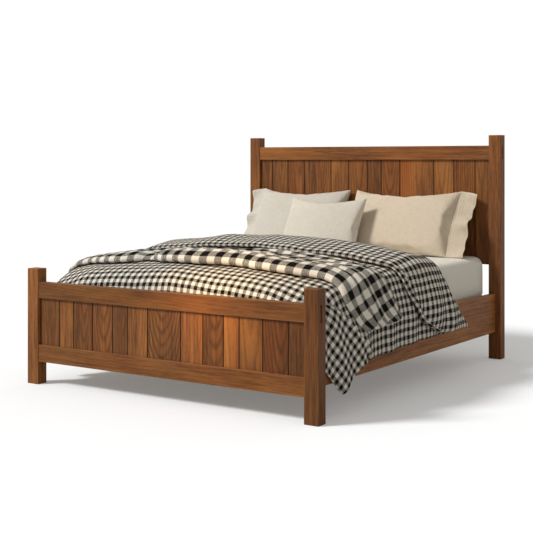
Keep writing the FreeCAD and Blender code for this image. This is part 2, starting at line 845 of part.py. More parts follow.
def leaned(solid, x, back_y):
    """Stand a form on its long edge on the sheet and lean it back towards the headboard."""
    solid = solid.copy()
    solid.rotate(vec(0, 0, 0), vec(1, 0, 0), 90 - pillow_lean)
    box = solid.BoundBox
    solid.translate(vec(x, back_y - box.YMax, sheet_top_z + pad_gap - box.ZMin))
    return solid


def pillow(side):
    form = padded_form(pillow_width, pillow_height, pillow_thickness, pillow_draw_in)
    form = form.fuse(flange(side))
    x = side * (pillow_width + pillow_spacing) / 2 - pillow_offset
    return leaned(form, x, panel_front_y - pad_gap)


def cushion(behind):
    """The small cushion, set face to face against the pillows behind it."""
    form = leaned(padded_form(cushion_width, cushion_height, cushion_thickness, cushion_draw_in),
                  -cushion_offset, panel_front_y)
    lean = math.radians(pillow_lean)
    normal = vec(0, -math.cos(lean), math.sin(lean))
    back = min(v.Point.dot(normal) for v in form.Vertexes)
    front = max(v.Point.dot(normal) for v in behind.Vertexes)
    form.translate(vec(0, -(front - back + pad_gap) / math.cos(lean), 0))
    return form


def main():
    os.makedirs("parts", exist_ok=True)

    for x_sign, side in ((-1, "left"), (1, "right")):
        save("foot_post_" + side, post(x_sign, -1))
        save("head_post_" + side, post(x_sign, 1))
        save("side_rail_" + side, side_rail(x_sign))
        save("slat_cleat_" + side, cleat(x_sign))

    through = post_width - tenon_setback
    save("foot_top_rail", board_rail(foot_rail_y, foot_top_rail_z, top_rail_height, through, False))
    save("foot_bottom_rail", board_rail(foot_rail_y, foot_bottom_rail_z, bottom_rail_height,
                                        stub_tenon_length, True))
    save("head_top_rail", board_rail(head_rail_y, head_top_rail_z, top_rail_height, through, False))

    seats = batten_screw_seats()
    back_way = vec(0, -1, 0)
    save("head_batten", drilled(batten_block(0), seats, back_way, short_screw_length))

    entry = panel_groove_depth - panel_top_play
    foot_boards = panel(foot_board_shares, foot_rail_y,
                        foot_bottom_rail_z + bottom_rail_height - panel_groove_depth,
                        foot_top_rail_z + entry)
    for i, solid in enumerate(foot_boards):
        save("foot_board_%02d" % (i + 1), solid)
    head_boards = panel(head_board_shares, head_rail_y, head_panel_bottom_z, head_top_rail_z + entry)
    for i, solid in enumerate(head_boards):
        save("head_board_%02d" % (i + 1), drilled(solid, seats[i:i + 1], back_way, short_screw_length))

    corners = [(x_sign, y_sign) for x_sign in both_sides for y_sign in both_sides]
    save("rail_hooks", *[hook_plate(*corner) for corner in corners])
    save("rail_catches", *[catch_plate(*corner) for corner in corners])
    save("hook_pins", *[pin for corner in corners for pin in hook_pins(*corner)])
    save("catch_screws", *[catch_screw(seat, vec(0, corner[1], 0))
                           for corner in corners for seat in catch_screw_seats(*corner)])
    short = [screw(seat, back_way, short_screw_length) for seat in seats]
    for x_sign in both_sides:
        short += [screw(seat, vec(x_sign, 0, 0), short_screw_length + cleat_width / 2)
                  for seat in cleat_screw_seats(x_sign)]
    save("batten_and_cleat_screws", *short)

    save("slats", *[slat(y) for y in slat_places()])
    save("slat_screws", *[screw(seat, vec(0, 0, -1), slat_screw_length) for seat in slat_screw_seats()])
    save("centre_beam", centre_beam())
    for i, y in enumerate(leg_places()):
        save("centre_leg_%d" % (i + 1), centre_leg(y))
        save("levelling_foot_%d" % (i + 1), levelling_foot(y))
    save("leg_bolts", *[leg_bolt(y) for y in leg_places()])
    save("leg_inserts", *[leg_insert(y) for y in leg_places()])

    save("mattress", mattress_form(0))
    save("fitted_sheet", fitted_sheet())
    save("duvet", duvet())
    save("throw", throw())
    left_pillow = pillow(-1)
    save("pillow_left", left_pillow)
    save("pillow_right", pillow(1))
    save("cushion", cushion(left_pillow))


main()
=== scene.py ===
# %% [markdown]
# A dressed wooden bed: a stained plank frame, and bedding in two sizes of black and cream check.
# The frame's pieces come finished in shape, at their real size. This lesson gives them their stain,
# and makes the soft pieces, which plain solids only stood for: each one lies where its solid lies.

# %% Load the frame
import bisect
import functools
import math

import bmesh
import bpy
from mathutils import Matrix, Vector, noise


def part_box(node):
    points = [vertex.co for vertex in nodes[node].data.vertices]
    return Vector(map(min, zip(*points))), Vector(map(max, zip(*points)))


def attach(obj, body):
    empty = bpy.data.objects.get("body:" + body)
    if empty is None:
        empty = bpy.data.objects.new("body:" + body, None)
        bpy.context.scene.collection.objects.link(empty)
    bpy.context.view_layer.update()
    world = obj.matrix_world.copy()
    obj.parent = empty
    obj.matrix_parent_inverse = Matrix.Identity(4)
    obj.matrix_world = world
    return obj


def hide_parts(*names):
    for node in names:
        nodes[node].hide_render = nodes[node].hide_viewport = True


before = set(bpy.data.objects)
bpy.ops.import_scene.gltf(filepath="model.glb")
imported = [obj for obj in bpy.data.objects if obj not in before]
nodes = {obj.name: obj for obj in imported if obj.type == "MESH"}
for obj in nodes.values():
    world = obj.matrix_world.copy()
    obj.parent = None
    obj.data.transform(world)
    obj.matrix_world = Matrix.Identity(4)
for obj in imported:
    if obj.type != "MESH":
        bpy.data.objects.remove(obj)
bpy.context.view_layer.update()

# %% [markdown]
# The camera stands to the right of the foot, a little above the posts, and looks level, so that the
# posts stay upright in the picture. Tilting it down would make them lean. A lens shift lowers the
# frame instead, as on a view camera.

# %% Camera
camera_place = Vector((3.5266, -5.3799, 1.172))
camera_turn = 0.5922
camera_lens_mm = 77.70
camera_shift = -0.1996


def placed(name, data):
    """A new object in the scene."""
    made = bpy.data.objects.new(name, data)
    bpy.context.scene.collection.objects.link(made)
    return made


camera = placed("camera", bpy.data.cameras.new("camera"))
camera.data.lens = camera_lens_mm
camera.data.shift_y = camera_shift
camera.location = camera_place
camera.rotation_euler = (math.pi / 2, 0.0, camera_turn)
bpy.context.scene.camera = camera
print("camera", tuple(round(v, 2) for v in camera_place))

# %% [markdown]
# A socket class for materials. Shader sums are easier to read as sums, so the class wraps one output
# socket, and its operators add the Math nodes. One method adds every other kind of node: its
# settings come first, because some of them change which sockets the node has.

# %% Socket class
class Flow:
    """An output socket of a material's tree, which can be used in sums."""

    def __init__(self, tree, socket=None):
        self.tree = tree
        self.socket = socket

    def node(self, kind, settings=None, inputs=None, out=0):
        made = self.tree.nodes.new(kind)
        for name, value in (settings or {}).items():
            setattr(made, name, value)
        for name, value in (inputs or {}).items():
            if isinstance(value, Flow):
                self.tree.links.new(value.socket, made.inputs[name])
            else:
                made.inputs[name].default_value = value
        return Flow(self.tree, made.outputs[out] if made.outputs else None)

    def math(self, operation, *terms):
        return self.node("ShaderNodeMath", {"operation": operation}, dict(enumerate(terms)))

    def __add__(self, other):
        return self.math("ADD", self, other)

    def __radd__(self, other):
        return self.math("ADD", other, self)

    def __sub__(self, other):
        return self.math("SUBTRACT", self, other)

    def __rsub__(self, other):
        return self.math("SUBTRACT", other, self)

    def __mul__(self, other):
        return self.math("MULTIPLY", self, other)

    def __rmul__(self, other):
        return self.math("MULTIPLY", other, self)

    def __pow__(self, other):
        return self.math("POWER", self, other)

    def smaller(self, other):
        return self.math("MINIMUM", self, other)

    def larger(self, other):
        return self.math("MAXIMUM", self, other)

    def wave(self, width):
        """A sine of this value, which changes its sign at every width."""
        return self.math("SINE", self * (math.pi / width))

    def rise(self, low, high):
        """0 below low, 1 above high, and a smooth rise between them. It falls if low is above high."""
        settings = {"interpolation_type": "SMOOTHSTEP"}
        return self.node("ShaderNodeMapRange", settings, {0: self, 1: low, 2: high})

    def mix(self, first, second):
        """The first colour where this is 0, the second where it is 1."""
        return self.node("ShaderNodeMix", {"data_type": "RGBA"}, {0: self, 6: first, 7: second}, out=2)

    def parts(self):
        return [self.node("ShaderNodeSeparateXYZ", {}, {0: self}, out=axis) for axis in range(3)]

    def stretched(self, scale, shift):
        """This vector times scale, plus shift."""
        settings = {"operation": "MULTIPLY_ADD"}
        return self.node("ShaderNodeVectorMath", settings, {0: self, 1: scale, 2: shift})

    def grain(self, scale, detail=2.0, rough=0.5):
        """Soft noise from 0 to 1 over this vector."""
        inputs = {"Vector": self, "Scale": scale, "Detail": detail, "Roughness": rough}
        return self.node("ShaderNodeTexNoise", {}, inputs)


def start_finish(name):
    material = bpy.data.materials.new(name)
    material.use_nodes = True
    material.node_tree.nodes.clear()
    return material, Flow(material.node_tree)


def end_finish(paint, colour, roughness, height=None, depth=0.0, **fixed):
    """Joins the finish to one shader. The height bumps its normal, and fixed values go on sockets."""
    inputs = {"Base Color": colour, "Roughness": roughness}
    if height is not None:
        inputs["Normal"] = paint.node("ShaderNodeBump", {}, {"Height": height, "Distance": depth})
    inputs.update({name.replace("_", " "): value for name, value in fixed.items()})
    shader = paint.node("ShaderNodeBsdfPrincipled", {}, inputs)
    paint.node("ShaderNodeOutputMaterial", {}, {"Surface": shader})


def coat(piece, material):
    """Gives every slot of a piece one finish."""
    if not piece.material_slots:
        piece.data.materials.append(material)
    for place in piece.material_slots:
        place.material = material


print("socket class ready")

# %% [markdown]
# The light is one soft sun from the front left, a pale sky, and a small warm lamp that shines on the
# middle of the foot. A sky bright enough to look white would wash out the shadows, so it has two
# strengths: camera and glass rays see it white, and the light that it sheds is dimmer and warmer.

# %% Light
sun_from = Vector((-0.50, -0.56, 0.66))
sun_strength = 3.0
sun_softness = math.radians(14)
sun_colour = (1.0, 0.985, 0.955)
sky_colour = (1.0, 0.96, 0.90, 1.0)
sky_strength = 0.47
lamp_place = Vector((-0.55, -2.30, 1.45))
lamp_target = Vector((0.33, -0.95, 0.58))
lamp_watts = 190.0
lamp_colour = (1.0, 0.58, 0.20)
lamp_cone = math.radians(24)
lamp_softness = 0.2

sun = placed("sun", bpy.data.lights.new("sun", "SUN"))
sun.data.energy = sun_strength
sun.data.angle = sun_softness
sun.data.color = sun_colour
sun.rotation_euler = sun_from.to_track_quat("Z", "Y").to_euler()

lamp = placed("lamp", bpy.data.lights.new("lamp", "SPOT"))
lamp.data.energy = lamp_watts
lamp.data.color = lamp_colour
lamp.data.spot_size = lamp_cone
lamp.data.spot_blend = 1.0
lamp.data.shadow_soft_size = lamp_softness
lamp.location = lamp_place
lamp.rotation_euler = (lamp_place - lamp_target).to_track_quat("Z", "Y").to_euler()

world = bpy.data.worlds.new("studio")
bpy.context.scene.world = world
world.use_nodes = True
world.node_tree.nodes.clear()
sky = Flow(world.node_tree)


def seen_rays(paint):
    """1 on rays from the camera or through glass, else 0."""
    camera_ray = paint.node("ShaderNodeLightPath", out="Is Camera Ray")
    glass_ray = paint.node("ShaderNodeLightPath", out="Is Transmission Ray")
    return camera_ray.larger(glass_ray)


soft_light = sky.node("ShaderNodeBackground", {}, {"Color": sky_colour, "Strength": sky_strength})
white_wall = sky.node("ShaderNodeBackground", {}, {"Color": (1.0, 1.0, 1.0, 1.0), "Strength": 1.0})
either = sky.node("ShaderNodeMixShader", {}, {0: seen_rays(sky), 1: soft_light, 2: white_wall})
sky.node("ShaderNodeOutputWorld", {}, {"Surface": either})
bpy.context.scene.view_settings.view_transform = "Standard"
print("sun from", tuple(sun_from), "and a sky of", sky_strength)

# %% [markdown]
# The bed stands on a pale floor that keeps its shadow. One large face is enough. It glows a little,
# so that it runs into the white sky without an edge, and is dimmer to light that bounces off it, so
# that the bed's sides in the shade stay dark.

# %% Floor
floor_size = 60.0
floor_white = (0.90, 0.925, 0.97, 1.0)
floor_dim = (0.56, 0.55, 0.53, 1.0)
floor_glow = (1.0, 0.985, 0.96, 1.0)
floor_glow_strength = 1.25
floor_lift = 0.14
mesh = bpy.data.meshes.new("floor")
plan = bmesh.new()
bmesh.ops.create_grid(plan, x_segments=1, y_segments=1, size=floor_size / 2)
plan.to_mesh(mesh)
plan.free()
floor = placed("floor", mesh)
floor_finish, paint = start_finish("pale_floor")
matt = paint.node("ShaderNodeBsdfDiffuse", {}, {"Color": floor_white})
glow = paint.node("ShaderNodeEmission", {}, {"Color": floor_glow, "Strength": floor_glow_strength})
lifted = paint.node("ShaderNodeMixShader", {}, {0: floor_lift, 1: matt, 2: glow})
dim = paint.node("ShaderNodeBsdfDiffuse", {}, {"Color": floor_dim})
either = paint.node("ShaderNodeMixShader", {}, {0: seen_rays(paint), 1: dim, 2: lifted})
paint.node("ShaderNodeOutputMaterial", {}, {"Surface": either})
coat(floor, floor_finish)
print("floor", floor_size, "m wide")

# %% [markdown]
# The wood is a brown hardwood under a thin satin stain. A flat picture of planks would repeat, and
# would not go round the corners, so the stain is worked out in the solid: growth rings around a log
# that leans a little, which gives arched figure on flat faces, with fibre streaks and pores along
# the grain. Each piece has its own log. Stain gathers in the joints, which also get painted shade for
# their grooves, and the edges are lighter: partly worn thin, partly a painted highlight.

# %% Stain
stains = {
    "joint": (0.016, 0.005, 0.001),
    "dark": (0.050, 0.016, 0.005),
    "brown": (0.215, 0.080, 0.026),
    "gold": (0.40, 0.160, 0.036),
    "red": (0.255, 0.066, 0.014),
    "plum": (0.135, 0.051, 0.022),
    "worn_and_highlight": (0.38, 0.17, 0.062),
}
ring_spacing = 0.014
fibre_stretch = 0.042
wave_stretch = 0.22
heart_reach = 0.05
edge_wear_and_highlight = 0.006
stain_bump = 0.0006
stain_shine = 0.22


def stretch_along(axis, share):
    """Scales for a pattern that is drawn out along one axis."""
    return [share if number == axis else 1.0 for number in range(3)]


def stained_wood(name, low, high, along, seed, gold, red, figure, light, joint=0.0, tongue=0.0):
    """The stain of one piece between the corners low and high, with its grain on one axis."""
    material, paint = start_finish(name)
    stain = {part: (*(light * value for value in shade), 1.0) for part, shade in stains.items()}
    place = paint.node("ShaderNodeTexCoord", out="Object")
    across = [axis for axis in range(3) if axis != along]
    log = Vector([noise.noise((seed * 1.37, axis * 5.1, 0.3)) for axis in range(3)])
    middle = (low + high) / 2
    shift = log * 9.0 + Vector((seed * 0.71, seed * 0.37, seed * 0.53))

    fibres = place.stretched(stretch_along(along, fibre_stretch), shift)
    waves = place.stretched(stretch_along(along, wave_stretch), shift)

    coordinates = place.parts()
    lean = 0.035 + 0.05 * abs(log.x) + 0.35 * max(0.0, figure - 0.5)
    length_run = coordinates[along] - middle[along]
    first = coordinates[across[0]] - (middle[across[0]] + heart_reach * log.y)
    second = coordinates[across[1]] - (middle[across[1]] + heart_reach * (1 + log.z))
    first = first + (waves.grain(5.0, 2.0) - 0.5) * 0.05
    second = second + length_run * lean + (waves.grain(3.1, 1.0) - 0.5) * 0.06
    radius = (first * first + second * second) ** 0.5
    ring = radius.wave(ring_spacing / 2) * 0.5 + 0.5

    streak = fibres.grain(95.0, 4.0, 0.62)
    band = fibres.stretched((1.0, 1.0, 1.0), (2.0, 6.0, 3.0)).grain(30.0, 3.0, 0.6)
    hair = fibres.grain(420.0, 2.0, 0.5)
    pore = fibres.grain(820.0, 1.0, 0.5).rise(0.34, 0.26)
    cloud = waves.grain(6.5, 3.0, 0.55)
    warm = waves.stretched((1.0, 1.0, 1.0), (4.0, 1.0, 7.0)).grain(4.0, 2.0)

    body = streak.rise(0.25, 0.69).mix(stain["dark"], stain["brown"])
    body = (band.rise(0.50, 0.30) * 0.42).mix(body, stain["dark"])
    body = (band.rise(0.52, 0.72) * 0.40).mix(body, stain["gold"])
    body = (cloud.rise(0.36, 0.70) * gold).mix(body, stain["gold"])
    body = (warm.rise(0.42, 0.70) * red).mix(body, stain["red"])
    body = (warm.rise(0.52, 0.26) * 0.45).mix(body, stain["plum"])
    lines = (ring ** 2.5) * figure * 0.8 * cloud.rise(0.22, 0.55)
    body = lines.mix(body, stain["dark"])
    body = (hair.rise(0.42, 0.70) * 0.25).mix(body, stain["gold"])
    body = (pore * 0.5).mix(body, stain["dark"])

    gaps = [
        (coordinates[axis] - low[axis]).smaller(high[axis] - coordinates[axis]) for axis in range(3)
    ]
    nearest = gaps[0].smaller(gaps[1])
    farther = gaps[0].larger(gaps[1])
    edge_gap = nearest.larger(farther.smaller(gaps[2]))
    # The edges are lighter: partly worn stain, partly a painted highlight where the eased edges catch the
    # light.
    rub_and_highlight = edge_gap.rise(edge_wear_and_highlight, 0.0005) * waves.grain(30.0, 3.0).rise(0.40, 0.66)
    body = (rub_and_highlight * 0.40).mix(body, stain["worn_and_highlight"])
    # A near-black band along each joint: partly stain gathered there, partly painted shade of the groove
    # between the planks.
    if joint:
        left, right = low[across[0]], high[across[0]] - tongue
        side_gap = (coordinates[across[0]] - left).smaller(right - coordinates[across[0]])
        joint_stain_and_shade = side_gap.rise(joint, joint * 0.4)
        body = (joint_stain_and_shade * 0.92).mix(body, stain["joint"])
    height = streak * 0.5 + (1 - pore) * 0.6 + ring * 0.12
    rough = 0.42 + streak * 0.10 + rub_and_highlight * 0.10 - hair * 0.05
    end_finish(paint, body, rough, height, stain_bump, Specular_IOR_Level=stain_shine)
    return material


def stain_node(name, seed, along, *shares, **edges):
    low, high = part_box(name)
    coat(nodes[name], stained_wood(name + "_stain", low, high, along, seed, *shares, **edges))


print("stain ready, rings", ring_spacing, "m apart")

# %% [markdown]
# The posts and rails are solid bars, planed and stained before the bed was put together. One stain on
# all of them would look like plastic, so each has its own log and its own shares: after the axis of
# its grain come gold, red, figure and lightness.

# %% Frame pieces
frame_looks = {
    "foot_post_left": (2, 0.35, 0.15, 0.3, 1.22),
    "foot_post_right": (2, 0.25, 0.20, 0.3, 0.68),
    "head_post_left": (2, 0.30, 0.20, 0.3, 1.00),
    "head_post_right": (2, 0.25, 0.35, 0.3, 1.06),
    "foot_top_rail": (0, 0.65, 0.40, 0.25, 0.71),
    "foot_bottom_rail": (0, 0.40, 0.25, 0.25, 0.90),
    "head_top_rail": (0, 0.60, 0.30, 0.25, 1.04),
    # The side rails' lightness of 1.50 is partly painted light, which makes up for the shade that their outer
    # faces stand in.
    "side_rail_left": (1, 0.12, 0.05, 0.3, 1.50),
    "side_rail_right": (1, 0.12, 0.05, 0.3, 1.50),
}
for seed, (name, looks) in enumerate(frame_looks.items(), start=3):
    stain_node(name, seed, *looks)
print(len(frame_looks), "posts and rails stained")

# %% [markdown]
# The planks of the two panels were cut from many logs and took the stain unlike each other: some
# went golden, some red, some nearly plum. Their shares are listed too, from the left. Each joint gets
# a dark band, partly the stain gathered there and partly painted shade of the groove between planks.
# A plank's tongue lies hidden in the next one's groove, so the joint is drawn where the plank's face
# ends.

# %% Boards
upright_grain = 2
board_joint = 0.0045
board_tongue = 0.006
foot_planks = [
    (0.15, 0.05, 0.5, 0.86), (0.65, 0.10, 0.4, 1.15), (0.15, 0.20, 0.7, 0.86),
    (0.35, 0.20, 0.9, 1.02), (0.25, 0.15, 0.5, 0.92), (0.65, 0.10, 0.5, 1.15),
    (0.30, 0.30, 1.0, 0.95), (0.85, 0.45, 0.4, 1.18), (0.10, 1.00, 0.8, 0.80),
    (0.75, 0.50, 0.4, 1.05), (0.55, 0.25, 0.5, 0.88), (0.20, 0.60, 0.8, 0.58),
    (0.25, 0.25, 0.5, 0.58),
]
head_planks = [
    (0.15, 0.15, 0.5, 0.78), (0.35, 0.20, 0.6, 1.02), (0.25, 0.50, 0.6, 0.95),
    (0.50, 0.30, 0.8, 1.05), (0.85, 0.05, 0.5, 1.16), (0.35, 0.25, 0.6, 1.00),
    (0.20, 0.20, 0.6, 0.82), (0.35, 0.35, 0.7, 0.96), (0.65, 0.90, 0.5, 1.10),
    (0.80, 0.55, 0.6, 1.08), (0.35, 0.35, 0.7, 0.90), (0.40, 0.20, 0.5, 0.88),
]
for panel, planks in (("foot_board", foot_planks), ("head_board", head_planks)):
    for number, shares in enumerate(planks, start=1):
        name = f"{panel}_{number:02d}"
        seed = number * 2.3 + len(panel) + len(planks)
        tongue = board_tongue if number < len(planks) else 0.0
        stain_node(name, seed, upright_grain, *shares, joint=board_joint, tongue=tongue)
print(len(foot_planks) + len(head_planks), "boards stained")

# %% [markdown]
# The base is plain unstained softwood, and the fittings are zinc-plated steel and black nylon. None
# of it shows from in front, but the bed is seen from below and behind too.

# %% Base and fittings
pale_wood = (0.62, 0.43, 0.25, 1.0)
pale_line = (0.40, 0.23, 0.11, 1.0)
steel_dark = (0.52, 0.52, 0.50, 1.0)
steel_pale = (0.70, 0.70, 0.69, 1.0)
nylon_dark = (0.012, 0.012, 0.013, 1.0)
nylon_pale = (0.030, 0.030, 0.032, 1.0)


def plain_wood(name, along):
    material, paint = start_finish(name)
    place = paint.node("ShaderNodeTexCoord", out="Object")
    fibres = place.stretched(stretch_along(along, fibre_stretch), (3.0, 5.0, 2.0))
    band = fibres.grain(38.0, 3.0)
    hair = fibres.grain(300.0, 2.0)
    colour = (band.rise(0.45, 0.72) * 0.55 + hair.rise(0.5, 0.8) * 0.25).mix(pale_wood, pale_line)
    end_finish(paint, colour, 0.62 + hair * 0.15, hair + band, 0.0005)
    return material


def plated_steel(name):
    material, paint = start_finish(name)
    place = paint.node("ShaderNodeTexCoord", out="Object")
    brushed = place.stretched((1.0, 1.0, 0.05), (0.0, 0.0, 0.0)).grain(900.0, 2.0)
    spangle = place.grain(160.0, 2.0)
    colour = spangle.mix(steel_dark, steel_pale)
    end_finish(paint, colour, 0.28 + brushed * 0.2, brushed, 0.0001, Metallic=1.0)
    return material


def black_nylon(name):
    material, paint = start_finish(name)
    place = paint.node("ShaderNodeTexCoord", out="Object")
    speckle = place.grain(1100.0, 2.0)
    colour = speckle.mix(nylon_dark, nylon_pale)
    end_finish(paint, colour, 0.45 + speckle * 0.2, speckle, 0.0002)
    return material


base_grain = {"slats": 0, "slat_cleat_left": 1, "slat_cleat_right": 1, "centre_beam": 1}
base_grain.update({"head_batten": 0, "centre_leg_1": 2, "centre_leg_2": 2, "centre_leg_3": 2})
base_finishes = {along: plain_wood(f"plain_wood_{along}", along) for along in range(3)}
for name, along in base_grain.items():
    coat(nodes[name], base_finishes[along])
steel_finish = plated_steel("plated_steel")
for name in (
    "rail_hooks", "rail_catches", "hook_pins", "catch_screws", "batten_and_cleat_screws",
    "slat_screws", "leg_bolts", "leg_inserts",
):
    coat(nodes[name], steel_finish)
nylon_finish = black_nylon("black_nylon")
for number in (1, 2, 3):
    coat(nodes[f"levelling_foot_{number}"], nylon_finish)
print("base in plain wood, fittings in steel and nylon")

# %% [markdown]
# Gingham is woven from two colours of yarn: stripes of black and cream run both along and across,
# and the weave lets one or the other come to the top. Where like crosses like the square is plain,
# and where they differ it is a fine mix, which reads as grey. The finish does the same, over the
# cloth's own flat coordinates in metres, so that the squares follow every fold.

# %% Cloth finishes
cream_yarn = (0.78, 0.74, 0.66, 1.0)
black_yarn = (0.005, 0.0045, 0.0045, 1.0)
fuzz_grey = (0.30, 0.28, 0.25, 1.0)
yarn_width = 0.0016
yarn_blur = 0.0025
yarn_drift = 0.004
dark_cover = 0.20


def gingham(name, square):
    """Two-colour check with squares of one size, over the cloth's UV map in metres."""
    material, paint = start_finish(name)
    flat = paint.node("ShaderNodeUVMap", {"uv_map": "flat"})
    drift = flat.grain(7.0, 2.0)
    u, v, _ = flat.parts()
    u = u + (drift - 0.5) * yarn_drift
    v = v + (flat.stretched((1.0, 1.0, 1.0), (3.0, 9.0, 0.0)).grain(6.0, 2.0) - 0.5) * yarn_drift
    soft_edge = yarn_blur / square
    dark_warp = u.wave(square).rise(-soft_edge, soft_edge)
    dark_weft = v.wave(square).rise(-soft_edge, soft_edge)
    wave_u = u.wave(yarn_width)
    wave_v = v.wave(yarn_width)
    over = (wave_u * wave_v + (dark_weft - dark_warp) * dark_cover).rise(-0.2, 0.2)
    slub = flat.stretched((60.0, 900.0, 1.0), (0.0, 0.0, 0.0)).grain(1.0, 2.0)
    cross_slub = flat.stretched((900.0, 60.0, 1.0), (5.0, 2.0, 0.0)).grain(1.0, 2.0)
    warp = dark_warp.mix(cream_yarn, black_yarn)
    weft = dark_weft.mix(cream_yarn, black_yarn)
    colour = over.mix(warp, weft)
    fuzz = (slub + cross_slub).rise(0.7, 1.3)
    colour = (fuzz * 0.02).mix(colour, fuzz_grey)
    height = wave_u * wave_u * over + wave_v * wave_v * (1 - over) + slub * 0.5
    end_finish(paint, colour, 0.88 + slub * 0.08, height, 0.0005, Specular_IOR_Level=0.06)
    return material


def linen(name, pale, deep, thread=0.0011):
    """Plain weave with thick and thin threads, over the cloth's UV map in metres."""
    material, paint = start_finish(name)
    flat = paint.node("ShaderNodeUVMap", {"uv_map": "flat"})
    u, v, _ = flat.parts()
    slub = flat.stretched((22.0, 620.0, 1.0), (0.0, 0.0, 0.0)).grain(1.0, 3.0)
    cross_slub = flat.stretched((520.0, 26.0, 1.0), (8.0, 3.0, 0.0)).grain(1.0, 3.0)
    wave_u = u.wave(thread)
    wave_v = v.wave(thread)
    over = (wave_u * wave_v).rise(-0.3, 0.3)
    blotch = flat.grain(9.0, 3.0)
    thick = slub.rise(0.44, 0.66) * 0.40 + cross_slub.rise(0.46, 0.68) * 0.32
    thick = thick + blotch * 0.18 + over * 0.08
    colour = thick.mix(pale, deep)
    height = wave_u * wave_u * over + wave_v * wave_v * (1 - over) + slub + cross_slub
    end_finish(paint, colour, 0.86 + slub * 0.1, height, 0.0006, Sheen_Weight=0.10, Sheen_Roughness=0.5)
    return material


stripe_spacing = 0.045
ticking_cream = (0.74, 0.71, 0.64, 1.0)
ticking_blue = (0.20, 0.23, 0.30, 1.0)


def ticking(name):
    """The mattress cover: cream with fine blue stripes along the bed."""
    material, paint = start_finish(name)
    place = paint.node("ShaderNodeTexCoord", out="Object")
    line = place.parts()[0].wave(stripe_spacing / 2).rise(0.80, 0.92)
    weave = place.stretched((700.0, 700.0, 700.0), (0.0, 0.0, 0.0)).grain(1.0, 2.0)
    colour = (line * 0.8).mix(ticking_cream, ticking_blue)
    end_finish(paint, colour, 0.85 + weave * 0.1, weave, 0.0006)
    return material


small_square = 0.020
large_square = 0.040
small_check = gingham("small_check", small_square)
large_check = gingham("large_check", large_square)
case_linens = {
    "pillow_left": linen("left_linen", (0.68, 0.64, 0.57, 1.0), (0.50, 0.46, 0.39, 1.0)),
    "pillow_right": linen("right_linen", (0.72, 0.62, 0.48, 1.0), (0.53, 0.43, 0.31, 1.0)),
    "cushion": linen("cushion_linen", (0.74, 0.69, 0.60, 1.0), (0.56, 0.50, 0.41, 1.0)),
}
sheet_cotton = linen("sheet_cotton", (0.86, 0.82, 0.74, 1.0), (0.79, 0.75, 0.67, 1.0), 0.0006)
mattress_ticking = ticking("mattress_ticking")
print("cloth finishes ready")

# %% [markdown]
# Tools for draped cloth. A bed's cover can be thought of as flat cloth laid on two lines: one runs
# from the foot to the head, one from the middle down a side. Each line goes smoothly through a few
# given points, and is read by the distance along it, which is also the place on the flat cloth.

# %% Smooth lines
class SmoothLine:
    """A smooth line through a few points, read by the distance along it."""

    def __init__(self, points, steps=10):
        ends = [Vector(point) for point in (points[0], *points, points[-1])]
        self.line = [ends[1]]
        for a, b, c, d in zip(ends, ends[1:], ends[2:], ends[3:]):
            for step in range(1, steps + 1):
                t = step / steps
                straight = 2 * b + (c - a) * t
                bent = (2 * a - 5 * b + 4 * c - d) * t * t + (3 * b - a - 3 * c + d) * t * t * t
                self.line.append((straight + bent) / 2)
        self.along = [0.0]
        for start, end in zip(self.line, self.line[1:]):
            self.along.append(self.along[-1] + (end - start).length)
        self.length = self.along[-1]

    def at(self, distance):
        index = min(max(bisect.bisect_right(self.along, distance) - 1, 0), len(self.line) - 2)
        share = (distance - self.along[index]) / max(self.along[index + 1] - self.along[index], 1e-9)
        return self.line[index].lerp(self.line[index + 1], share)

    def where(self, axis, value):
        """The distance at which a rising coordinate first passes the value."""
        for index, (start, end) in enumerate(zip(self.line, self.line[1:])):
            if end[axis] >= value:
                share = (value - start[axis]) / max(end[axis] - start[axis], 1e-9)
                return self.along[index] + max(share, 0.0) * (self.along[index + 1] - self.along[index])
        return self.length

    def read(self, axis, value, other):
        """The other coordinate, where a rising one has the value."""
        return self.at(self.where(axis, value))[other]


def rise(value, low, high):
    share = min(max((value - low) / (high - low), 0.0), 1.0)
    return share * share * (3 - 2 * share)


def ripple(seed, *place):
    """Smooth noise from -1 to 1, the same each time."""
    return noise.noise(Vector((*place, 0.0, 0.0)[:3]) + Vector((seed * 7.3, seed * 3.1, seed * 1.7)))


print("smooth lines ready")

# %% [markdown]
# The duvet. Its foot is tucked between mattress and footboard, its sides hang over the rails, and
# at each foot corner the spare cloth hangs as a kite. It is modelled on a flat grid whose points are
# carried to the bed by the two lines, because its checks then stay square to the cloth.

# %% Duvet lines
spine = SmoothLine([
    (-1.011, 0.435), (-1.011, 0.50), (-1.004, 0.552), (-0.984, 0.592), (-0.945, 0.622), (-0.88, 0.645),
    (-0.78, 0.664), (-0.67, 0.674), (-0.5, 0.686), (-0.25, 0.696), (0.0, 0.702), (0.2, 0.704),
    (0.5, 0.704), (0.9, 0.704),
])
flank = SmoothLine([
    (0.0, 0.0), (0.28, -0.012), (0.52, -0.030), (0.65, -0.046), (0.74, -0.060), (0.80, -0.076),
    (0.832, -0.100), (0.852, -0.135), (0.866, -0.175), (0.882, -0.235), (0.892, -0.295), (0.897, -0.36),
    (0.900, -0.50),
])
ridge = SmoothLine([
    (-1.011, 0.775), (-0.985, 0.790), (-0.94, 0.812), (-0.90, 0.845), (-0.853, 0.893), (-0.80, 0.958),
    (-0.753, 1.014), (-0.70, 1.070), (-0.661, 1.108), (-0.63, 1.150), (-0.615, 1.212),
])
half_width = 1.212
tuck_half = 0.775
tuck_spread = 0.025
ridge_top = spine.where(0, -0.985)
ridge_end = spine.where(0, -0.615)
print("duvet is", round(2 * half_width, 2), "m across, and half its section", round(flank.length, 3))


